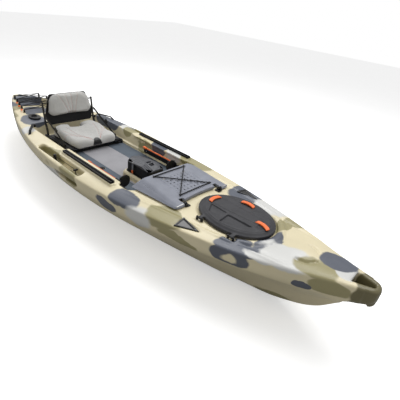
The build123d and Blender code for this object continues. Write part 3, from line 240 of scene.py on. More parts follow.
# ---- Materials -----------------------------------------------------------
class Shader:
    """A small helper to lay nodes out one after another."""

    def __init__(self, name):
        self.material = bpy.data.materials.new(name)
        self.material.use_nodes = True
        self.tree = self.material.node_tree
        self.main = self.tree.nodes["Principled BSDF"]
        self.place = self.node("ShaderNodeTexCoord").outputs["Object"]

    def node(self, kind, **values):
        made = self.tree.nodes.new(kind)
        for key, value in values.items():
            setattr(made, key, value)
        return made

    def link(self, a, b):
        self.tree.links.new(a, b)

    def noise(self, scale, detail=2.0, rough=0.5, place=None, stretch=None):
        place = place or self.place
        if stretch:
            mapping = self.node("ShaderNodeMapping")
            mapping.inputs["Scale"].default_value = stretch
            self.link(place, mapping.inputs["Vector"])
            place = mapping.outputs["Vector"]
        made = self.node("ShaderNodeTexNoise")
        made.inputs["Scale"].default_value = scale
        made.inputs["Detail"].default_value = detail
        made.inputs["Roughness"].default_value = rough
        self.link(place, made.inputs["Vector"])
        return made.outputs["Fac"]

    def ranged(self, value, low, high, a=0.0, b=1.0):
        made = self.node("ShaderNodeMapRange")
        made.inputs["From Min"].default_value = low
        made.inputs["From Max"].default_value = high
        made.inputs["To Min"].default_value = a
        made.inputs["To Max"].default_value = b
        self.link(value, made.inputs["Value"])
        return made.outputs["Result"]

    def mix(self, share, a, b, kind="MIX"):
        made = self.node("ShaderNodeMix", data_type="RGBA", blend_type=kind)
        for value, at in ((share, 0), (a, 6), (b, 7)):
            if isinstance(value, bpy.types.NodeSocket):
                self.link(value, made.inputs[at])
            elif at:
                made.inputs[at].default_value = (*value, 1)
            else:
                made.inputs[at].default_value = value
        return made.outputs[2]

    def bump(self, height, strength, distance, under=None):
        made = self.node("ShaderNodeBump")
        made.inputs["Strength"].default_value = strength
        made.inputs["Distance"].default_value = distance
        self.link(height, made.inputs["Height"])
        if under:
            self.link(under, made.inputs["Normal"])
        return made.outputs["Normal"]

    def set(self, **values):
        for key, value in values.items():
            socket = self.main.inputs[key.replace("_", " ").title().replace("Ior", "IOR")]
            if isinstance(value, bpy.types.NodeSocket):
                self.link(value, socket)
            elif isinstance(value, tuple) and len(value) == 3:
                socket.default_value = (*value, 1)
            else:
                socket.default_value = value
        return self.material


def moulding(name, colour, rough=0.5, grain=900.0, depth=0.05, vary=0.12, specular=0.45):
    """Moulded plastic: fine grain, faint mottling and uneven gloss."""
    s = Shader(name)
    cloud = s.noise(14.0, 4.0)
    light = tuple(min(1.0, c * (1 + vary) + 0.002) for c in colour)
    dark = tuple(c * (1 - vary) for c in colour)
    s.set(base_color=s.mix(s.ranged(cloud, 0.3, 0.7), dark, light))
    s.set(roughness=s.ranged(s.noise(60.0, 3.0), 0.25, 0.75, rough - 0.07, rough + 0.07))
    s.set(specular_ior_level=specular)
    s.set(normal=s.bump(s.noise(grain, 2.0), depth * 4, 0.0004))
    return s.material


def metal(name, colour, rough=0.3):
    s = Shader(name)
    streak = s.noise(220.0, 2.0, stretch=(0.15, 1.0, 1.0))
    s.set(base_color=s.mix(s.ranged(streak, 0.3, 0.7), tuple(c * 0.85 for c in colour), colour))
    s.set(metallic=1.0, roughness=s.ranged(streak, 0.2, 0.8, rough - 0.06, rough + 0.1))
    s.set(normal=s.bump(streak, 0.1, 0.0002))
    return s.material


def foam(name, colour):
    """Closed-cell deck foam with a fine brushed face."""
    s = Shader(name)
    cell = s.noise(700.0, 3.0)
    wide = s.noise(9.0, 3.0)
    base = s.mix(s.ranged(wide, 0.3, 0.7), tuple(c * 0.92 for c in colour),
                 tuple(min(1, c * 1.07) for c in colour))
    s.set(base_color=s.mix(s.ranged(cell, 0.35, 0.65, 0.0, 0.35), base,
                           tuple(c * 0.7 for c in colour)))
    s.set(roughness=0.88, specular_ior_level=0.2)
    s.set(normal=s.bump(cell, 0.5, 0.0006))
    return s.material


def weave(s, threads):
    """Height of a plain weave with that many threads to the metre."""
    split = s.node("ShaderNodeSeparateXYZ")
    s.link(s.place, split.inputs[0])
    waves = []
    for axis in ("X", "Y", "Z"):
        part = s.node("ShaderNodeMath", operation="MULTIPLY")
        part.inputs[1].default_value = threads * math.pi
        s.link(split.outputs[axis], part.inputs[0])
        sine = s.node("ShaderNodeMath", operation="SINE")
        s.link(part.outputs[0], sine.inputs[0])
        waves.append(sine.outputs[0])
    product = waves[0]
    for wave in waves[1:]:
        both = s.node("ShaderNodeMath", operation="ADD")
        s.link(product, both.inputs[0])
        s.link(wave, both.inputs[1])
        product = both.outputs[0]
    return product


def fabric(name, colour, threads=420.0, rough=0.85, sheen=0.35):
    s = Shader(name)
    cloth = weave(s, threads)
    wide = s.noise(11.0, 4.0)
    base = s.mix(s.ranged(wide, 0.3, 0.7), tuple(c * 0.93 for c in colour),
                 tuple(min(1, c * 1.05) for c in colour))
    s.set(base_color=s.mix(s.ranged(cloth, -1.5, 1.5, 0.0, 0.16), base,
                           tuple(c * 0.6 for c in colour)))
    s.set(roughness=rough, specular_ior_level=0.25, sheen_weight=sheen)
    s.set(normal=s.bump(s.noise(60.0, 3.0), 0.12, 0.003, s.bump(cloth, 0.35, 0.0006)))
    return s.material


CREAM = (0.74, 0.66, 0.445)
OLIVE = (0.335, 0.300, 0.150)
WHITE = (0.66, 0.66, 0.64)
SLATE = (0.086, 0.098, 0.130)
# Darker olive painted over the bow loop and nose as shade, where the olive plastic lies in shadow.
OLIVE_PAINTED_SHADE = (0.150, 0.130, 0.058)
# colour, centre x y z, half lengths x y z, how soft its edge is
CAMO = [
    (SLATE, 0.46, -0.36, 0.36, 0.13, 0.085, 0.07, 0.05),
    (SLATE, 0.35, -0.43, 0.265, 0.10, 0.09, 0.035, 0.10),
    (OLIVE, 0.74, -0.31, 0.36, 0.13, 0.085, 0.09, 0.06),
    (OLIVE, 0.86, -0.35, 0.27, 0.15, 0.08, 0.03, 0.12),
    (WHITE, 0.60, -0.37, 0.29, 0.10, 0.075, 0.06, 0.25),
    (SLATE, 1.165, -0.235, 0.36, 0.135, 0.10, 0.035, 0.05),
    (SLATE, 1.235, -0.10, 0.38, 0.055, 0.17, 0.06, 0.05),
    (SLATE, 1.15, -0.27, 0.31, 0.11, 0.06, 0.05, 0.06),
    (CREAM, 1.145, -0.275, 0.30, 0.045, 0.06, 0.028, 0.25),
    (WHITE, 1.335, -0.115, 0.38, 0.155, 0.115, 0.05, 0.12),
    (WHITE, 1.27, -0.21, 0.365, 0.10, 0.055, 0.035, 0.10),
    (OLIVE, 1.20, 0.115, 0.37, 0.045, 0.10, 0.05, 0.08),
    (OLIVE, 1.235, 0.20, 0.35, 0.07, 0.045, 0.05, 0.08),
    (OLIVE, 1.495, -0.085, 0.385, 0.105, 0.075, 0.035, 0.14),
    (OLIVE, 1.60, -0.12, 0.33, 0.13, 0.06, 0.055, 0.07),
    # painted shade: a darker olive patch over the bow loop and nose
    (OLIVE_PAINTED_SHADE, 1.73, 0.0, 0.34, 0.105, 0.10, 0.12, 0.05),
    (WHITE, 1.605, -0.018, 0.395, 0.062, 0.058, 0.03, 0.10),
    (SLATE, 1.54, 0.035, 0.385, 0.088, 0.078, 0.05, 0.05),
    (SLATE, 1.475, -0.16, 0.299, 0.036, 0.05, 0.026, 0.05),
    (SLATE, -0.66, 0.34, 0.35, 0.19, 0.12, 0.10, 0.06),
    (WHITE, -0.45, 0.37, 0.34, 0.07, 0.08, 0.07, 0.20),
    (OLIVE, -0.37, 0.355, 0.34, 0.085, 0.09, 0.07, 0.06),
    (OLIVE, -0.14, 0.27, 0.31, 0.10, 0.03, 0.055, 0.06),
    (SLATE, 0.02, 0.35, 0.34, 0.10, 0.13, 0.07, 0.05),
    (WHITE, 0.18, 0.31, 0.34, 0.08, 0.07, 0.07, 0.20),
    (OLIVE, 0.37, 0.34, 0.34, 0.15, 0.11, 0.07, 0.06),
    (SLATE, 0.86, 0.27, 0.35, 0.12, 0.13, 0.08, 0.05),
    (WHITE, 1.06, 0.25, 0.35, 0.13, 0.09, 0.08, 0.20),
    (SLATE, -0.90, -0.23, 0.36, 0.14, 0.10, 0.05, 0.06),
    (WHITE, -0.74, -0.35, 0.35, 0.07, 0.06, 0.05, 0.25),
    (OLIVE, -0.33, -0.38, 0.30, 0.16, 0.06, 0.05, 0.10),
    (OLIVE, -0.02, -0.42, 0.30, 0.12, 0.05, 0.06, 0.12),
    (WHITE, -0.25, -0.44, 0.23, 0.16, 0.10, 0.05, 0.30),
    (SLATE, -1.05, -0.33, 0.24, 0.16, 0.14, 0.09, 0.06),
    (OLIVE, -1.30, -0.22, 0.28, 0.17, 0.16, 0.10, 0.08),
    (WHITE, -1.28, 0.20, 0.33, 0.15, 0.14, 0.09, 0.18),
    (SLATE, -1.55, 0.05, 0.33, 0.11, 0.17, 0.09, 0.06),
    (SLATE, -1.26, -0.02, 0.28, 0.20, 0.12, 0.05, 0.10),
    (SLATE, -1.42, -0.20, 0.33, 0.16, 0.06, 0.05, 0.14),
    (OLIVE, -1.12, -0.30, 0.31, 0.13, 0.05, 0.06, 0.12),
    (SLATE, -0.86, -0.36, 0.22, 0.16, 0.06, 0.07, 0.14),
    (OLIVE, -1.68, -0.05, 0.25, 0.07, 0.14, 0.10, 0.06),
    (OLIVE, -0.98, 0.33, 0.30, 0.13, 0.13, 0.10, 0.07),
    (WHITE, -0.40, 0.44, 0.18, 0.24, 0.14, 0.08, 0.20),
    (OLIVE, 0.22, 0.44, 0.20, 0.22, 0.14, 0.08, 0.08),
    (SLATE, 0.70, 0.36, 0.20, 0.17, 0.12, 0.09, 0.06),
    (OLIVE, 1.14, 0.26, 0.24, 0.20, 0.10, 0.07, 0.08),
    (WHITE, 0.90, 0.0, 0.02, 0.26, 0.22, 0.06, 0.20),
    (SLATE, 0.35, 0.12, 0.0, 0.22, 0.18, 0.06, 0.08),
    (OLIVE, -0.28, -0.14, 0.0, 0.26, 0.16, 0.06, 0.08),
    (WHITE, -0.75, 0.10, 0.0, 0.22, 0.18, 0.07, 0.20),
    (SLATE, -1.22, 0.05, 0.03, 0.20, 0.16, 0.09, 0.08),
    (OLIVE, 1.30, 0.0, 0.07, 0.16, 0.10, 0.07, 0.08),
]


def camo_group():
    """One patch of colour: an ellipsoid of space, painted over what is below."""
    group = bpy.data.node_groups.new("camo_patch", "ShaderNodeTree")
    face = group.interface
    for name, kind in (("Under", "NodeSocketColor"), ("Point", "NodeSocketVector"),
                       ("Centre", "NodeSocketVector"), ("Scale", "NodeSocketVector"),
                       ("Paint", "NodeSocketColor"), ("Soft", "NodeSocketFloat")):
        face.new_socket(name, in_out="INPUT", socket_type=kind)
    face.new_socket("Colour", in_out="OUTPUT", socket_type="NodeSocketColor")

    def add(kind, **values):
        made = group.nodes.new(kind)
        for key, value in values.items():
            setattr(made, key, value)
        return made

    source, out = add("NodeGroupInput"), add("NodeGroupOutput")
    offset = add("ShaderNodeVectorMath", operation="SUBTRACT")
    scaled = add("ShaderNodeVectorMath", operation="MULTIPLY")
    length = add("ShaderNodeVectorMath", operation="LENGTH")
    inner = add("ShaderNodeMath", operation="SUBTRACT")
    inner.inputs[0].default_value = 1.0
    share = add("ShaderNodeMapRange", interpolation_type="SMOOTHSTEP")
    share.inputs["To Min"].default_value = 1.0
    share.inputs["To Max"].default_value = 0.0
    share.inputs["From Max"].default_value = 1.02
    mix = add("ShaderNodeMix", data_type="RGBA")
    given = source.outputs
    for start, end in (
            (given["Point"], offset.inputs[0]), (given["Centre"], offset.inputs[1]),
            (offset.outputs[0], scaled.inputs[0]), (given["Scale"], scaled.inputs[1]),
            (scaled.outputs[0], length.inputs[0]), (given["Soft"], inner.inputs[1]),
            (inner.outputs[0], share.inputs["From Min"]),
            (length.outputs["Value"], share.inputs["Value"]),
            (share.outputs["Result"], mix.inputs[0]), (given["Under"], mix.inputs[6]),
            (given["Paint"], mix.inputs[7]), (mix.outputs[2], out.inputs[0])):
        group.links.new(start, end)
    return group


def camo_shell():
    """Rotomoulded polyethylene with its colours run together in big soft patches; the darker olive
    patch over the bow loop is painted shade.
    """
    s = Shader("camo_shell")
    point = s.place
    for scale, amount, detail in ((6.0, 0.075, 1.0), (21.0, 0.022, 2.0)):
        swirl = s.node("ShaderNodeTexNoise")
        swirl.inputs["Scale"].default_value = scale
        swirl.inputs["Detail"].default_value = detail
        s.link(s.place, swirl.inputs["Vector"])
        centred = s.node("ShaderNodeVectorMath", operation="SUBTRACT")
        centred.inputs[1].default_value = (0.5, 0.5, 0.5)
        s.link(swirl.outputs["Color"], centred.inputs[0])
        sized = s.node("ShaderNodeVectorMath", operation="SCALE")
        sized.inputs["Scale"].default_value = amount
        s.link(centred.outputs[0], sized.inputs[0])
        moved = s.node("ShaderNodeVectorMath", operation="ADD")
        s.link(point, moved.inputs[0])
        s.link(sized.outputs[0], moved.inputs[1])
        point = moved.outputs[0]
    cloud = s.noise(5.0, 3.0)
    colour = s.mix(s.ranged(cloud, 0.35, 0.65), tuple(c * 0.96 for c in CREAM),
                   tuple(c * 1.04 for c in CREAM))
    patch = camo_group()
    for paint, x, y, z, rx, ry, rz, soft in CAMO:
        step = s.node("ShaderNodeGroup", node_tree=patch)
        step.inputs["Centre"].default_value = (x, y, z)
        step.inputs["Scale"].default_value = (1 / rx, 1 / ry, 1 / rz)
        step.inputs["Paint"].default_value = (*paint, 1)
        step.inputs["Soft"].default_value = soft + 0.04
        s.link(colour, step.inputs["Under"])
        s.link(point, step.inputs["Point"])
        colour = step.outputs[0]
    speck = s.noise(420.0, 3.0)
    colour = s.mix(s.ranged(speck, 0.3, 0.7, 0.0, 0.07), colour, (0.30, 0.29, 0.24))
    s.set(base_color=colour)
    s.set(roughness=s.ranged(s.noise(30.0, 4.0), 0.25, 0.75, 0.27, 0.40))
    s.set(specular_ior_level=0.5, coat_weight=0.10, coat_roughness=0.2)
    s.set(normal=s.bump(s.noise(8.0, 2.0), 0.10, 0.004, s.bump(s.noise(650.0, 2.0), 0.10, 0.0004)))
    return s.material


# ---- Hull ----------------------------------------------------------------
HALF_LENGTH = 1752.5
HALF_BEAM = 432.0
DECK_Z = 350.0
FLOOR_Z = 245.0
# share of half length, share of half beam, sheer z, keel z, crown z, flare
STATIONS = np.array([
    (-1.00, 0.08, 318, 165, 324, 0.55),
    (-0.95, 0.17, 327, 95, 335, 0.45),
    (-0.86, 0.33, 340, 45, 351, 0.30),
    (-0.72, 0.54, 347, 14, 362, 0.12),
    (-0.52, 0.79, 340, 4, 358, 0.0),
    (-0.27, 0.97, 325, 0, 352, 0.0),
    (0.0, 1.0, 313, 0, DECK_Z, 0.0),
    (0.24, 0.925, 319, 0, 348, 0.0),
    (0.45, 0.785, 332, 4, 348, 0.12),
    (0.64, 0.61, 342, 18, 354, 0.34),
    (0.78, 0.425, 353, 50, 368, 0.62),
    (0.88, 0.265, 366, 128, 380, 0.85),
    (0.94, 0.175, 376, 236, 386, 0.75),
    (1.00, 0.10, 386, 285, 391, 0.40),
])
CROWN_T = [0.0, 0.30, 0.58, 0.80, 0.93, 1.0, 1.3]
CROWN_G = [1.0, 0.995, 0.95, 0.74, 0.36, 0.0, -1.2]
HULL_STEP = (8.0, 5.0, 5.0)


def station(x, column):
    return hermite(STATIONS[:, 0] * HALF_LENGTH, STATIONS[:, column], x)


def under_field(p):
    """Sides and bottom, one cross-section at a time."""
    x, y, z = p
    beside = np.abs(y[0])
    half = beside[beside.shape[0] // 2:]
    height = z[0]
    out = np.empty(np.broadcast(x, y, z).shape, np.float32)
    for i, here in enumerate(x.ravel()):
        at = float(np.clip(here, -HALF_LENGTH, HALF_LENGTH))
        b = station(at, 1) * HALF_BEAM
        top, low, flare = station(at, 2), station(at, 3), station(at, 5)
        depth = top - low
        line = np.array([
            (0, low),
            (b * (0.30 - 0.19 * flare), low + 0.006 * depth),
            (b * (0.48 - 0.31 * flare), low + 0.10 * depth),
            (b * (0.70 - 0.40 * flare), low + 0.32 * depth),
            (b * (0.93 - 0.25 * flare), top - min(120, 0.72 * depth)),
            (b * 0.99, top - min(75, 0.55 * depth)),
            (b, top - 12),
            (b - 1, top + 120),
        ])
        run = np.concatenate([[0], np.cumsum(np.hypot(*np.diff(line, axis=0).T))])
        s = np.linspace(0, run[-1], 56)
        cy, cz = hermite(run, line[:, 0], s), hermite(run, line[:, 1], s)
        best = np.full((half.shape[0], height.shape[1]), 1e9, np.float32)
        for ay, az, by, bz in zip(cy[:-1], cz[:-1], cy[1:], cz[1:]):
            ey, ez = by - ay, bz - az
            t = np.clip(((half - ay) * ey + (height - az) * ez) / (ey * ey + ez * ez), 0, 1)
            best = np.minimum(best, (half - ay - t * ey) ** 2 + (height - az - t * ez) ** 2)
        widest = np.interp(height, cz, cy, left=-1)
        field = np.sqrt(best) * np.where(half < widest, -1, 1)
        out[i] = np.concatenate([field[:0:-1], field]) if y.shape[1] % 2 else field
    return out


def deck_z(x, y):
    """Height of the bare deck's skin."""
    b = station(x, 1) * HALF_BEAM
    t = np.clip(np.abs(y) / b, 0, 1.3)
    top, mid = station(x, 2), station(x, 4)
    return top + (mid - top) * hermite(CROWN_T, CROWN_G, t)


HATCH_X = 981.0
HATCH_HALF_X = 229.0
HATCH_HALF_Y = 178.0
HATCH_PAN_Z = 341.0
COAMING_Z = 356.0
POD_X = 212.0
POD_HALF_X = 118.0
POD_HALF_Y = 66.0
PLINTH_Z = 284.0


def oval_gap(x, y, grow=0.0):
    """Distance in plan from the hatch lid's edge, positive outside."""
    hx, hy = HATCH_HALF_X + grow, HATCH_HALF_Y + grow
    px, py = (x - HATCH_X) / hx, y / hy
    k = np.sqrt(px * px + py * py)
    slope = np.sqrt((px / hx) ** 2 + (py / hy) ** 2)
    return (k - 1) * k / np.maximum(slope, 1e-6)


def bell(gap, width):
    return np.exp(-(gap / width) ** 2)


def arc_gap(x, y, cx, cy, r, a0, a1):
    """Distance in plan from an arc, its ends faded by the caller's width."""
    angle = np.degrees(np.arctan2(y - cy, x - cx))
    lost = np.maximum(np.maximum(a0 - angle, angle - a1), 0)
    return np.hypot(np.hypot(x - cx, y - cy) - r, np.radians(lost) * r)


def deck_relief(x, y):
    """Creases, swells and grip pockets moulded into the deck."""
    h = 10.0 * bell(np.hypot(x - 1398, y * 0.95), 62)
    h = h - 13.0 * bell(arc_gap(x, y, 1398, -6, 76, -95, -22), 9)
    h = h - 10.0 * bell(arc_gap(x, y, 1392, -2, 64, 30, 85), 8)
    ring = oval_gap(x, y)
    front = np.clip((x - 1000) / 140, 0, 1)
    h = h + 8.0 * front * bell(ring - 34, 15)
    h = h - 4.0 * front * bell(ring - 62, 10)
    side = np.abs(y)
    keel_line = 330 - 0.165 * (x - 400)
    along = np.clip((x - 380) / 160, 0, 1) * np.clip((1500 - x) / 200, 0, 1)
    h = h + 3.5 * along * bell(side - keel_line * 0.985, 9)
    h = h - 3.0 * along * bell(side - keel_line * 0.985 + 24, 9)
    stern = np.clip((-1120 - x) / 60, 0, 1)
    h = h + 4.0 * stern * bell(side - 0.20 * (x + 1752) - 128, 10)
    return h


def insert_seat(x, y, s):
    """Plan distance from a deck insert's triangle, and the height of its floor."""
    outline = [(818, s * 322), (807, s * 233), (952, s * 262)]
    if s > 0:
        outline = outline[::-1]
    base = 337.0 - s * (y - s * 272) * math.tan(math.radians(6))
    return flat_polygon(x, y, outline), base


def hull_field(p):
    x, y, z = p
    side = np.abs(y)
    b = station(x, 1) * HALF_BEAM
    f = under_field(p)
    top = deck_z(x, y) + deck_relief(x, y)
    f = smax(f, (z - top) * 0.97, 9.0)
    nose = np.hypot((x - HALF_LENGTH + 52) / 52, y / (0.15 * HALF_BEAM)) - 1
    f = np.where(x > HALF_LENGTH - 52, smax(f, nose * 44, 26.0), f)
    tail = np.hypot((x + HALF_LENGTH - 95) / 95, y / (0.27 * HALF_BEAM)) - 1
    f = np.where(x < -HALF_LENGTH + 95, smax(f, tail * 88, 9.0), f)
    f = smax(f, -z + 0 * x, 3.0)
    # track and brace bosses
    boss = prism(flat_box(x, side, 32.5, 325, 280, 21, 9), z, 318, 352, 4)
    f = smin(f, boss, 5.0)
    lip = prism(flat_box(x, side, 20, 300, 300, 27, 16), z, 333, 350.5, 7)
    # cockpit
    spread = (z - FLOOR_Z) * 34 / 105
    cockpit = flat_box(x, y, -187.5 - spread * 0.3, 0, 612.5 + spread * 0.55, 262 + spread, 55)
    cockpit = smax(cockpit, FLOOR_Z - z, 16.0)
    f = cut(f, cockpit, 9.0)
    f = smin(f, lip, 5.0)
    for rail_x in (-70, 305):
        f = smin(f, solid_box((x, side, z), (rail_x, 280, 287), (26, 24.5, 20), 7), 5.0)
    shelf = solid_box((x, side, z), (-430, 275, 256), (330, 20, 12), 6)
    f = smin(f, shelf, 8.0)
    # tank well
    slope = 125 / 522.5
    reach = side - 80 - (x + 1562.5) * slope - (z - 282) * 0.10
    tank = smax(smax(reach * 0.97, np.abs(x + 1301.25) - 261.25 - (z - 282) * 0.10, 26), 282 - z, 12)
    ribs = 4.5 * np.clip(np.cos(y * 2 * math.pi / 46) * 2.2, -1, 1) - 4.5
    tank = smax(tank, 282 + ribs * (np.abs(x + 1301) < 225) - z, 5)
    f = cut(f, tank, 10.0)
    # console compartment
    well = smax(flat_box(x, y, 577.5, 0, 112.5, 140, 30), 170 - z, 14)
    f = cut(f, well, 8.0)
    # pod plinth and well
    plinth = flat_box(x, y, POD_X, 0, POD_HALF_X + 26, POD_HALF_Y + 26, 40)
    plinth = smax(plinth + np.maximum(z - 272, 0) * 0.9, z - PLINTH_Z, 5)
    plinth = smax(plinth, 230 - z, 2)
    f = smin(f, plinth, 6.0)
    f = cut(f, flat_box(x, y, POD_X, 0, POD_HALF_X + 1.5, POD_HALF_Y + 1.5, 23) + 0 * z, 3.0)
    # hatch pan, coaming and opening
    ring = oval_gap(x, y)
    pan = smax(ring - 11, HATCH_PAN_Z - z, 6)
    pan = smax(pan, -smax(ring + 13, z - COAMING_Z, 3), 4)
    f = cut(f, pan, 7.0)
    for hinge_x in (HATCH_X - 105, HATCH_X + 105):
        pocket = solid_box(p, (hinge_x, -186, 381), (29, 18, 40), 6)
        f = cut(f, pocket, 4.0)
    hold = smax(ring + 25, 325 - z, 2)
    inside = smax(f + 14, np.abs(x - 1090) - 360, 30)
    inside = smax(inside, -(flat_box(x, y, 577.5, 0, 130, 158, 40)), 20)
    f = cut(f, inside, 2.0)
    f = cut(f, smax(hold, z - 420, 2), 3.0)
    # side trays and hand slots
    tray = smax(flat_box(x, side, -195, 385, 265, 23, 21), 288 - z, 8)
    f = cut(f, tray, 8.0)
    slot = solid_box((x, side, z), (-57.5, 424, 263), (127.5, 40, 13), 10)
    f = cut(f, slot, 7.0)
    # rod holders, scuppers, drain and wheel pocket
    tilt = math.radians(30)
    for s in (1, -1):
        down = Vector((math.sin(tilt), -0.25 * s * math.sin(tilt), -math.cos(tilt))).normalized()
        head = Vector((-945, s * 194, 366))
        bore = line_gap(p, head - down * 60, head + down * 62) - 22.5
        f = cut(f, bore, 4.0)
    for at, out in ((-70, 150), (-690, 150), (-1160, 100)):
        f = cut(f, np.hypot(x - at, side - out) - 17.3 + 0 * z, 5.0)
    f = cut(f, smax(np.hypot(x + 1662.5, y) - 12, 306 - z, 2), 3.0)
    pocket = solid_box(p, (-1442.5, 0, 56), (60, 20, 68), 18)
    f = cut(f, pocket, 5.0)
    # deck insert pockets
    for s in (1, -1):
        tri, base = insert_seat(x, y, s)
        f = cut(f, smax(tri - 1.0, base - z, 3), 4.0)
    # bow loop
    loop = [(1634.5, -42), (1722.5, -11), (1722.5, 11), (1634.5, 42)]
    f = cut(f, flat_polygon(x, y, loop) - 1.5 + 0 * z, 9.0)
    return f


HULL_NODES = ["hull_bottom", "deck_stern", "deck_cockpit", "deck_bow"]


def build_hull():
    p = grid((-1768, -445, -12), (1768, 445, 404), HULL_STEP)
    hull = moulded("hull_shell", hull_field(p), p, camo_shell(), sharp=60)
    settle(hull, "hull", HULL_NODES)


# ---- Carried-over CAD nodes ----------------------------------------------
PALETTE = {}


def palette():
    PALETTE.update({
        "lid_charcoal": moulding("lid_charcoal", (0.036, 0.036, 0.041), 0.50, 500, 0.10, specular=0.3),
        "pod_charcoal": moulding("pod_charcoal", (0.050, 0.052, 0.062), 0.34, 500, 0.05),
        "cover_grey": moulding("cover_grey", (0.215, 0.228, 0.272), 0.46, 700, 0.06, 0.08),
        "black_moulding": moulding("black_moulding", (0.009, 0.009, 0.010), 0.42, specular=0.25),
        "gloss_black": moulding("gloss_black", (0.006, 0.006, 0.007), 0.10, 300, 0.01, specular=0.7),
        "latch_orange": moulding("latch_orange", (0.86, 0.165, 0.030), 0.42, 600, 0.04, 0.07),
        "foam_light": foam("foam_light", (0.345, 0.342, 0.362)),
        "foam_slate": foam("foam_slate", (0.118, 0.142, 0.172)),
        "seal_rubber": moulding("seal_rubber", (0.018, 0.018, 0.018), 0.75, 400, 0.08),
        "track_black": moulding("track_black", (0.005, 0.005, 0.006), 0.45, 1200, 0.04, specular=0.15),
        "screw_steel": metal("screw_steel", (0.60, 0.60, 0.60), 0.28),
        "latch_metal": metal("latch_metal", (0.50, 0.50, 0.51), 0.30),
        "seat_fabric": fabric("seat_fabric", (0.50, 0.495, 0.475)),
        "seam_thread": fabric("seam_thread", (0.56, 0.27, 0.24), 2000.0),
        "badge_black": moulding("badge_black", (0.010, 0.010, 0.011), 0.35),
        "webbing": fabric("webbing", (0.014, 0.014, 0.015), 900.0, 0.75, 0.1),
        "cord_black": fabric("cord_black", (0.010, 0.010, 0.011), 1400.0, 0.7, 0.1),
        "frame_black": moulding("frame_black", (0.008, 0.008, 0.009), 0.40, 1500, 0.03, specular=0.22),
        "wheel_rubber": moulding("wheel_rubber", (0.020, 0.020, 0.020), 0.7, 300, 0.1),
    })


def dress_cad():
    slots = {s["node"]: s["material_slot"] for s in frame["record"]["subparts"]}
    for name, obj in nodes.items():
        slot = slots.get(name)
        if slot not in PALETTE:
            continue
        if not obj.material_slots:
            obj.data.materials.append(PALETTE[slot])
        for place in obj.material_slots:
            place.link = "OBJECT"
            place.material = PALETTE[slot]


# ---- Console cover and its cord ------------------------------------------
COVER_X = (400.0, 752.0)


def cover_top(x):
    return 398.0 - 30.0 * (x - COVER_X[0]) / (COVER_X[1] - COVER_X[0])


def cover_block(p, shrink):
    """The raised lid with sloping sides, without its front notch."""
    x, y, z = p
    side = np.abs(y)
    along = (x - COVER_X[0]) / (COVER_X[1] - COVER_X[0])
    top = cover_top(x) - shrink
    low, high = 272 - 40 * along, 184 + 23 * along
    share = np.clip((z - 353) / np.maximum(cover_top(x) - 353, 8), -0.4, 1.3)
    wide = low + (high - low) * share + 2.5 * bell(share - 0.5, 0.16) - 1.5 * shrink
    f = smax((side - wide) * 0.62, z - top, 9.0)
    f = smax(f, COVER_X[0] + shrink + np.maximum(z - 360, 0) * 0.35 - x, 12.0)
    return smax(f, x - COVER_X[1] + 4 + 2 * shrink, 26.0)


def cover_field(p):
    x, y, z = p
    side = np.abs(y)
    f = cover_block(p, 0.0)
    inside = np.clip((124 - side) / 10, 0, 1) * np.clip((x - 462) / 16, 0, 1)
    inside = inside * np.clip((676 - x) / 16, 0, 1)
    f = f + inside * (1.5 + 1.3 * np.cos(y * 2 * math.pi / 29))
    for at_x in (442, 670):
        f = f + 3.0 * bell(np.hypot(x - at_x, side - 128), 7)
    f = f - 1.6 * bell(x - 708, 9) * np.clip((150 - side) / 20, 0, 1)
    notch = smax(side - 157, 716 - 13 * (1 - (side / 160) ** 2) - x, 16)
    for s in (-1, 1):
        notch = np.minimum(notch, solid_box(p, (706, s * 146, 366), (16, 15, 30), 5))
    f = cut(f, notch, 6.0)
    f = cut(f, smax(cover_block(p, 5.0), x - 690, 6), 3.0)
    return smax(f, 353.6 - z + 0 * x, 3.0)


def tube(name, runs, radius, material, strands=0, pitch=0.012, wave=0.0, around=12):
    """Round cord along each run of points in metres, with plaited strands when asked."""
    points, faces = [], []
    for run in runs:
        run = np.array(run, float)
        gaps = np.linalg.norm(np.diff(run, axis=0), axis=1)
        along = np.concatenate([[0], np.cumsum(gaps)])
        count = max(4, int(along[-1] / (radius * 0.7)))
        s = np.linspace(0, along[-1], count)
        path = np.stack([np.interp(s, along, run[:, i]) for i in range(3)], 1)
        ahead = np.gradient(path, axis=0)
        ahead /= np.linalg.norm(ahead, axis=1, keepdims=True)
        across = np.cross(ahead, (0, 0, 1.0))
        thin = np.linalg.norm(across, axis=1) < 0.05
        across[thin] = np.cross(ahead[thin], (0, 1.0, 0))
        across /= np.linalg.norm(across, axis=1, keepdims=True)
        up = np.cross(across, ahead)
        turn = np.linspace(0, 2 * math.pi, around, endpoint=False)
        base = len(points)
        for i in range(count):
            plait = np.cos(strands * turn + s[i] / pitch * 2 * math.pi)
            plait = np.maximum(plait, np.cos(strands * turn - s[i] / pitch * 2 * math.pi))
            r = radius * (1 + wave * plait)
            if i in (0, count - 1):
                r = r * 0.5
            ring = path[i] + r[:, None] * (np.cos(turn)[:, None] * across[i]
                                           + np.sin(turn)[:, None] * up[i])
            points.extend(ring)
        for i in range(count - 1):
            a, b = base + i * around, base + (i + 1) * around
            for k in range(around):
                n = (k + 1) % around
                faces.append((a + k, a + n, b + n, b + k))
        faces.append(tuple(base + k for k in reversed(range(around))))
        faces.append(tuple(base + (count - 1) * around + k for k in range(around)))
    return add_mesh(name, points, faces, material, 60.0)


def sagged(a, b, lift, steps=24):
    t = np.linspace(0, 1, steps)[:, None]
    line = np.array(a, float) * (1 - t) + np.array(b, float) * t
    line[:, 2] += lift * np.sin(math.pi * t[:, 0])
    return line * MM


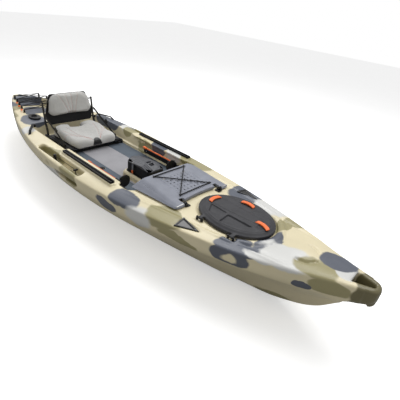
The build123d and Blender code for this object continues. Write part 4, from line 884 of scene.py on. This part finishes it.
def build_cover():
    p = grid((394, -280, 348), (758, 280, 404), (3.0, 3.0, 2.5))
    cover = moulded("console_cover_shell", cover_field(p), p, PALETTE["cover_grey"], 50)
    settle(cover, "console_cover", ["console_cover"])
    high = [(x, y, cover_top(x) + 4.6) for x in (442, 670) for y in (-128, 128)]
    runs = [sagged(high[0], high[1], 1.0), sagged(high[2], high[3], 1.0),
            sagged(high[0], high[3], 0.5), sagged(high[1], high[2], 6.0)]
    for x, y, z in high:
        runs.append(np.array([(x, y, z - 5), (x, y, z + 1)]) * MM)
        runs.append(np.array([(x - 9, y, z + 1.5), (x + 9, y + math.copysign(5, y), z + 1.5)]) * MM)
    cord = tube("cover_cord_plait", runs, 0.0031, PALETTE["cord_black"], 3, 0.020, 0.16)
    settle(cord, "console_cover", ["cover_cord"])


# ---- Hatch lid -----------------------------------------------------------
LATCH_ANGLES = {"aft": 178, "port": 92, "front": 2}
FRONT_GRIP_TURN = math.radians(75)


def latch_seat(angle):
    """Centre of a latch on the lid, and the way its grip faces."""
    t = math.radians(angle)
    turn = math.atan2(HATCH_HALF_X * math.sin(t), HATCH_HALF_Y * math.cos(t))
    return HATCH_X + 169 * math.cos(t), 118 * math.sin(t), turn


def turned(x, y, cx, cy, turn):
    """Plan coordinates about a centre: outwards, then along."""
    u = (x - cx) * math.cos(turn) + (y - cy) * math.sin(turn)
    v = -(x - cx) * math.sin(turn) + (y - cy) * math.cos(turn)
    return u, v


def smooth(t):
    t = np.clip(t, 0, 1)
    return t * t * (3 - 2 * t)


def lid_field(p):
    x, y, z = p
    ring = oval_gap(x, y)
    top = 363 + 13 * smooth(-ring / 34)
    band = 50 - 0.055 * (x - 800)
    off = np.abs(y - 6 - 0.03 * (x - 800))
    body = smooth(-(ring + 30) / 10)
    top = top + body * 3.6 * smooth((band - off) / 7) + body * 1.2 * bell(off - band - 30, 22)
    aft = flat_polygon(x, y, [(838, -46), (874, -112), (925, -118), (948, -50)])
    front = flat_polygon(x, y, [(966, -58), (972, -140), (1030, -132), (1118, -52)])
    for hollow, deep in ((aft, 6.5), (front, 9.0)):
        top = top - deep * smooth(0.5 - hollow / 5)
    fold = np.abs((y - 64) - 0.42 * (x - 1030))
    top = top - 2.2 * body * bell(fold, 4) * np.clip((x - 1010) / 20, 0, 1) * (y < 140)
    for angle in LATCH_ANGLES.values():
        u, v = turned(x, y, *latch_seat(angle))
        dish = flat_box(u, v, -5, 0, 17, 42, 12)
        top = top - 3.2 * smooth(0.5 - dish / 5)
    top = top - 1.5 * bell(ring + 27, 2.6)
    f = smax(ring, (z - top) * 0.95, 5.0)
    f = cut(f, smax(ring + 6, z - 357, 3), 2.0)
    for hx in (HATCH_X - 105, HATCH_X + 105):
        arm = solid_box(p, (hx, -168, 359.5), (11, 22, 4.5), 3)
        knuckle = np.maximum(np.hypot(y + 185, z - 358) - 6.8, np.abs(x - hx) - 11)
        f = smin(f, np.minimum(arm, knuckle), 3.0)
    return smax(f, 344.4 - z + 0 * x, 2.0)


def latch_field(u, v, z):
    """Curved grip on its shaft; u runs outwards and v along the grip."""
    bend = 95.0
    arc = np.abs(np.hypot(u + bend, v) - bend) - 12.5
    arc = smax(arc, np.abs(v) - 43, 5)
    swell_top = 386.5 - 2.2 * (v / 43) ** 2 - 1.2 * bell(np.hypot(u + bend, v) - bend, 6)
    f = smax(smax(arc, (z - swell_top) * 0.95, 4.0), 378.6 - z, 2.0)
    return smin(f, np.maximum(np.hypot(u, v) - 5, np.abs(z - 366) - 18), 2.0)


def build_latches():
    for name, angle in LATCH_ANGLES.items():
        cx, cy, turn = latch_seat(angle)
        if name == "front":
            turn += FRONT_GRIP_TURN
        p = grid((cx - 56, cy - 56, 344), (cx + 56, cy + 56, 392), (2.0, 2.0, 2.0))
        x, y, z = p
        u, v = turned(x, y, cx, cy, turn)
        latch = moulded(f"hatch_latch_{name}_grip", latch_field(u, v, z), p,
                        PALETTE["latch_orange"], 50)
        settle(latch, f"hatch_latch_{name}", [f"hatch_latch_{name}"])


def pod_lid_field(p):
    x, y, z = p
    side = np.abs(y)
    plan = flat_box(x, y, POD_X, 0, POD_HALF_X + 2, POD_HALF_Y + 2.5, 24)
    ridge = 384 - 0.10 * np.maximum(POD_X + 40 - x, 0) - 0.26 * np.maximum(x - POD_X - 40, 0)
    top = ridge - 14 * smooth((side - 20) / 50) - 1.2 * (0.5 + 0.5 * np.cos(y * 2 * math.pi / 12))
    dish = smax(flat_box(x, y, POD_X + 46, 0, 27, 17, 12), 366 - z, 8)
    f = smax(plan, (z - top) * 0.95, 7.0)
    f = cut(f, dish, 5.0)
    bar = np.maximum(np.hypot((z - 379) * 1.2, x - POD_X - 46) - 5.5, side - 20)
    f = smin(f, bar, 2.5)
    f = cut(f, smax(plan + 7, z - 360, 3), 2.0)
    arm = solid_box(p, (86, 0, 357), (14, 18, 5), 3)
    knuckle = np.maximum(np.hypot(x - 85, z - 350) - 6, side - 18)
    f = smin(f, np.minimum(arm, knuckle), 3.0)
    return smax(f, 352.6 - z + 0 * x, 1.5)


def build_pod_lid():
    p = grid((76, -72, 340), (336, 72, 390), (2.5, 2.5, 2.0))
    lid = moulded("pod_lid_shell", pod_lid_field(p), p, PALETTE["pod_charcoal"], 50)
    settle(lid, "pod_lid", ["pod_lid"])


def build_lid():
    p = grid((746, -198, 338), (1216, 184, 388), (3.0, 3.0, 2.5))
    lid = moulded("hatch_lid_shell", lid_field(p), p, PALETTE["lid_charcoal"], 50)
    settle(lid, "hatch_lid", ["hatch_lid"])


# ---- Deck inserts --------------------------------------------------------
def insert_field(p, s):
    x, y, z = p
    tri, base = insert_seat(x, y, s)
    tri = tri + 1.5
    top = base + 8.5 - 5.5 * smooth((-tri - 7) / 4)
    return smax(smax(tri, (z - top) * 0.9, 4.0), base + 0.5 - z, 1.5)


def build_inserts():
    parts = []
    for s in (1, -1):
        low, high = sorted((s * 228, s * 328))
        p = grid((800, low, 326), (960, high, 358), (2.0, 2.0, 1.6))
        parts.append(net(insert_field(p, s), p))
    points = np.concatenate([q[0] for q in parts]) * MM
    faces = np.concatenate([parts[0][1], parts[1][1] + len(parts[0][0])])
    piece = add_mesh("deck_insert_pair", points, faces, PALETTE["gloss_black"], 50)
    settle(piece, "hull", ["deck_inserts"])


# ---- Seat ----------------------------------------------------------------
BACK_PIVOT = (-710.0, 286.63)
BACK_TURN = math.radians(8)


def leaned(points):
    """Points of the upright back pad, in millimetres, leaned aft about its pivot."""
    x, z = points[:, 0] - BACK_PIVOT[0], points[:, 2] - BACK_PIVOT[1]
    made = points.copy()
    made[:, 0] = BACK_PIVOT[0] + x * math.cos(BACK_TURN) - z * math.sin(BACK_TURN)
    made[:, 2] = BACK_PIVOT[1] + x * math.sin(BACK_TURN) + z * math.cos(BACK_TURN)
    return made


SWELL_PRESSURE = 4.0
WEB_THICK = 0.0016
SEAM_DEEP = 0.0022
SEAM_WIDE = 0.006
THREAD_R = 0.0007


def subdivided(obj):
    more = obj.modifiers.new("smooth", "SUBSURF")
    more.levels = 1
    more.render_levels = 1


def thickened(obj):
    thick = obj.modifiers.new("thick", "SOLIDIFY")
    thick.thickness = WEB_THICK
    thick.offset = 0.0


def read(data, what="co"):
    values = np.empty(len(data.vertices) * 3)
    data.vertices.foreach_get(what, values)
    return values.reshape(-1, 3)


def write(data, points):
    data.vertices.foreach_set("co", points.ravel())
    data.update()


def swell(obj, cap, frames=20):
    """Blow the piece up a little as cloth, capped, and keep only the shape."""
    scene = bpy.context.scene
    data = obj.data
    start = read(data)
    cloth = obj.modifiers.new("swell", "CLOTH")
    cloth.settings.quality = 4
    cloth.settings.use_pressure = True
    cloth.settings.uniform_pressure_force = SWELL_PRESSURE
    cloth.settings.effector_weights.gravity = 0
    cloth.collision_settings.use_collision = False
    for frame_number in range(1, frames + 1):
        scene.frame_set(frame_number)
    graph = bpy.context.evaluated_depsgraph_get()
    end = read(obj.evaluated_get(graph).to_mesh())
    obj.evaluated_get(graph).to_mesh_clear()
    obj.modifiers.remove(cloth)
    scene.frame_set(1)
    move = end - start
    far = np.linalg.norm(move, axis=1, keepdims=True)
    move *= np.minimum(1, cap / np.maximum(far, 1e-9))
    write(data, start + move)


def landed(obj, path, probe):
    """Where rays from the path's points, shot along the probe, meet the piece."""
    tree = BVHTree.FromObject(obj, bpy.context.evaluated_depsgraph_get())
    hits = [tree.ray_cast(Vector(at), Vector(probe)) for at in path]
    return [h for h in hits if h[0] is not None]


def sewn(obj, paths, probe):
    """Press each path into the skin, then return the paths as they lie on it."""
    data = obj.data
    co, normal = read(data), read(data, "normal")
    laid = [[tuple(h[0]) for h in landed(obj, path, probe)] for path in paths]
    for line in laid:
        gap = np.full(len(co), 9.0)
        for at in line:
            gap = np.minimum(gap, np.linalg.norm(co - at, axis=1))
        co = co - normal * (SEAM_DEEP * bell(gap, SEAM_WIDE))[:, None]
    write(data, co)
    return [[tuple(h[0] + h[1] * 0.0002) for h in landed(obj, path, probe)] for path in paths]


def strip_faces(rows, columns, base=0):
    """Quads over rows of points that were added one row after another."""
    corners = [base + i * columns + k for i in range(rows - 1) for k in range(columns - 1)]
    return [(a, a + columns, a + columns + 1, a + 1) for a in corners]


def curve_through(points, steps=60):
    points = np.array(points, float)
    t = np.linspace(0, 1, len(points))
    s = np.linspace(0, 1, steps)
    return np.stack([hermite(t, points[:, i], s) for i in range(points.shape[1])], 1)


def cushion_field(p):
    x, y, z = p
    side = np.abs(y)
    half = 199 - 8 * np.clip((x + 690) / 330, 0, 1)
    plan = smax(side - half + 2, np.abs(x + 515) - 173, 70)
    notch = smax(side - 46 - 0.12 * (x + 690), x + 640, 26)
    plan = cut(plan, notch, 14)
    crown = 340 + 4 * smooth((x + 480) / 90) + 5 * bell(side - 125, 62)
    crown = crown + 20 * smooth((-450 - x) / 150) + 10 * smooth((-620 - x) / 60) - 7 * bell(y, 66)
    f = smax(plan, (z - crown) * 0.97, 36)
    under = 301 - 14 * smooth((x + 385) / 30)
    return smax(f, under - z, 10)


def build_cushion():
    p = grid((-700, -206, 276), (-332, 206, 386), (5.0, 5.0, 5.0))
    cushion = moulded("seat_cushion_cover", cushion_field(p), p, PALETTE["seat_fabric"], 80)
    swell(cushion, 0.006)
    subdivided(cushion)
    paths = []
    for s in (1, -1):
        for spread, end in ((0.35, -600), (0.72, -560), (1.0, -480)):
            line = curve_through([(-362, s * 34), (-430, s * (46 + 50 * spread)),
                                  (-500, s * (60 + 105 * spread)), (end, s * (75 + 120 * spread))])
            paths.append([(a * MM, b * MM, 0.5) for a, b in line if abs(b) < 186])
    threads = sewn(cushion, paths, (0, 0, -1))
    settle(cushion, "seat_frame", ["seat_cushion"])
    seams = tube("seat_cushion_stitching", threads, THREAD_R, PALETTE["seam_thread"], around=6)
    settle(seams, "seat_frame", ())
    tree = BVHTree.FromObject(cushion, bpy.context.evaluated_depsgraph_get())
    rows, columns, points = 26, 17, []
    for i in range(rows):
        tilt = math.radians(64 - 92 * i / (rows - 1))
        wide = 0.021 + 0.017 * smooth(i / rows) - 0.014 * bell(i / rows, 0.10)
        for k in range(columns):
            y = wide * (2 * k / (columns - 1) - 1)
            way = Vector((math.cos(tilt), 0, math.sin(tilt)))
            start = Vector((-0.385, y, 0.316)) + way * 0.2
            hit = tree.ray_cast(start, -way)
            points.append(tuple(hit[0] + hit[1] * 0.0012))
    faces = strip_faces(rows, columns)
    badge = add_mesh("seat_badge_patch", points, faces, PALETTE["badge_black"], 80)
    thickened(badge)
    settle(badge, "seat_frame", ["seat_badge"])


def back_field(p):
    x, y, z = p
    outline = [(-194, 428), (-160, 598), (160, 598), (194, 428)][::-1]
    plan = flat_polygon(y, z, outline)
    edge = smax(np.abs(y) - 193 + np.maximum(z - 470, 0) * 0.27, np.abs(z - 512) - 88, 74)
    plan = np.maximum(plan, edge)
    front = -678 + 5 * bell(np.abs(y) - 60, 80) - 3 * bell(y, 40)
    f = smax(plan, (x - front) * 0.97, 30)
    return smax(f, (-708 - x) * 0.97, 14)


def build_back():
    p = grid((-716, -202, 416), (-664, 202, 612), (5.0, 5.0, 5.0))
    points, faces = net(back_field(p), p)
    back = add_mesh("seat_back_cover", leaned(points) * MM, faces, PALETTE["seat_fabric"], 80)
    swell(back, 0.007)
    subdivided(back)
    paths = []
    for low, high in ((-26, -108), (-10, -44), (8, 10), (26, 74)):
        line = curve_through([(low, 424), (low + 0.12 * (high - low), 470),
                              (low + 0.5 * (high - low), 540), (high, 606)])
        paths.append([(-0.5, a * MM, b * MM) for a, b in line])
    threads = sewn(back, paths, (-1, 0, 0))
    settle(back, "seat_back", ["back_pad"])
    seams = tube("seat_back_stitching", threads, THREAD_R, PALETTE["seam_thread"], around=6)
    settle(seams, "seat_back", ())


def build_straps():
    """Webbing stays from the seat's rails to the back's arms."""
    head_x = -712 - (448 - BACK_PIVOT[1]) * math.tan(BACK_TURN)
    foot, head = np.array((-440.0, 306.0)), np.array((head_x, 448.0))
    way = (head - foot) / np.linalg.norm(head - foot)
    flat = np.array((-way[1], way[0]))
    steps, across = 60, 7
    points, faces = [], []
    for s in (1, -1):
        base = len(points)
        for i in range(steps):
            t = i / (steps - 1)
            at = foot + (head - foot) * t
            for k in range(across):
                w = (2 * k / (across - 1) - 1)
                bow = 0.5 * math.sin(t * 9) + 0.5 * (1 - w * w)
                u = at + flat * w * 10
                points.append((u[0], s * (214.4 + bow), u[1]))
        for quad in strip_faces(steps, across, base):
            faces.append((quad[0], *quad[:0:-1]) if s > 0 else (*quad[1:], quad[0]))
    strap = add_mesh("seat_strap_webbing", np.array(points) * MM, faces, PALETTE["webbing"], 80)
    thickened(strap)
    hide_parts("seat_straps")
    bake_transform(strap)


def soften_cad():
    """Small rounded edges on the carried-over pieces."""
    for name in ("pod_body", "pod_latch", "seat_frame", "seat_base", "back_frame",
                 "back_shell", "foot_pedal_port", "foot_pedal_starboard", "brace_rails",
                 "seat_link_rear", "seat_link_front", "stern_strips", "strap_buckles",
                 "strap_anchors", "gear_track_port", "gear_track_starboard"):
        obj = nodes[name]
        round_off = obj.modifiers.new("rounded", "BEVEL")
        round_off.width = 0.0009
        round_off.segments = 2
        round_off.limit_method = "ANGLE"
        round_off.angle_limit = math.radians(40)
        round_off.harden_normals = True


# ---- Stage, light and camera ---------------------------------------------
CAMERA_AT = (1.784, -1.354, 1.341)
CAMERA_YAW = 128.29
CAMERA_PITCH = 30.58
CAMERA_ROLL = 7.98
CAMERA_LENS = 30.36


def camera():
    yaw, pitch, roll = (math.radians(v) for v in (CAMERA_YAW, CAMERA_PITCH, CAMERA_ROLL))
    ahead = Vector((math.cos(yaw) * math.cos(pitch), math.sin(yaw) * math.cos(pitch),
                    -math.sin(pitch)))
    right = ahead.cross(Vector((0, 0, 1))).normalized()
    up = right.cross(ahead)
    right, up = (math.cos(roll) * right + math.sin(roll) * up,
                 math.cos(roll) * up - math.sin(roll) * right)
    data = bpy.data.cameras.new("camera")
    data.lens = CAMERA_LENS
    data.sensor_width = 36.0
    data.clip_start = 0.05
    data.clip_end = 60.0
    obj = bpy.data.objects.new("camera", data)
    turn = Matrix((right, up, -ahead)).transposed().to_4x4()
    obj.matrix_world = Matrix.Translation(CAMERA_AT) @ turn
    bpy.context.scene.collection.objects.link(obj)
    bpy.context.scene.camera = obj


def area(name, at, aim, size, power, colour=(1, 1, 1)):
    data = bpy.data.lights.new(name, "AREA")
    data.shape = "RECTANGLE"
    data.size, data.size_y = size
    data.energy = power
    data.color = colour
    obj = bpy.data.objects.new(name, data)
    obj.location = at
    obj.rotation_mode = "QUATERNION"
    obj.rotation_quaternion = (Vector(aim) - Vector(at)).to_track_quat("-Z", "Y")
    bpy.context.scene.collection.objects.link(obj)


def studio():
    world = bpy.data.worlds.new("studio")
    world.use_nodes = True
    sky = world.node_tree.nodes["Background"]
    sky.inputs["Color"].default_value = (1.0, 1.0, 1.0, 1)
    seen = world.node_tree.nodes.new("ShaderNodeLightPath")
    level = world.node_tree.nodes.new("ShaderNodeMapRange")
    level.inputs["To Min"].default_value = 0.50
    level.inputs["To Max"].default_value = 1.0
    world.node_tree.links.new(seen.outputs["Is Camera Ray"], level.inputs["Value"])
    world.node_tree.links.new(level.outputs["Result"], sky.inputs["Strength"])
    bpy.context.scene.world = world
    bpy.context.scene.view_settings.view_transform = "Standard"
    area("key", (0.3, 1.5, 3.6), (0.2, 0, 0.2), (4.5, 2.6), 115)
    area("rim", (-3.2, 0.6, 2.6), (-0.4, 0, 0.3), (2.5, 2.0), 30)
    data = bpy.data.meshes.new("studio_floor")
    far = 14.0
    data.from_pydata([(-far, -far, -0.0015), (far, -far, -0.0015), (far, far, -0.0015),
                      (-far, far, -0.0015)], [], [(0, 1, 2, 3)])
    floor = bpy.data.objects.new("studio_floor", data)
    bpy.context.scene.collection.objects.link(floor)
    s = Shader("studio_floor")
    pale = s.mix(s.ranged(s.noise(2.0), 0.3, 0.7), (0.93, 0.93, 0.93), (0.95, 0.95, 0.95))
    s.set(roughness=0.9, specular_ior_level=0.1)
    seen = s.node("ShaderNodeLightPath").outputs["Is Camera Ray"]
    s.set(base_color=s.mix(seen, (0.38, 0.38, 0.37), pale))
    s.set(emission_color=(1.0, 1.0, 1.0), emission_strength=s.ranged(seen, 0, 1, 0.0, 0.42))
    data.materials.append(s.material)


palette()
build_hull()
build_cover()
build_lid()
build_latches()
build_pod_lid()
build_inserts()
build_cushion()
build_back()
build_straps()
dress_cad()
soften_cad()
camera()
studio()
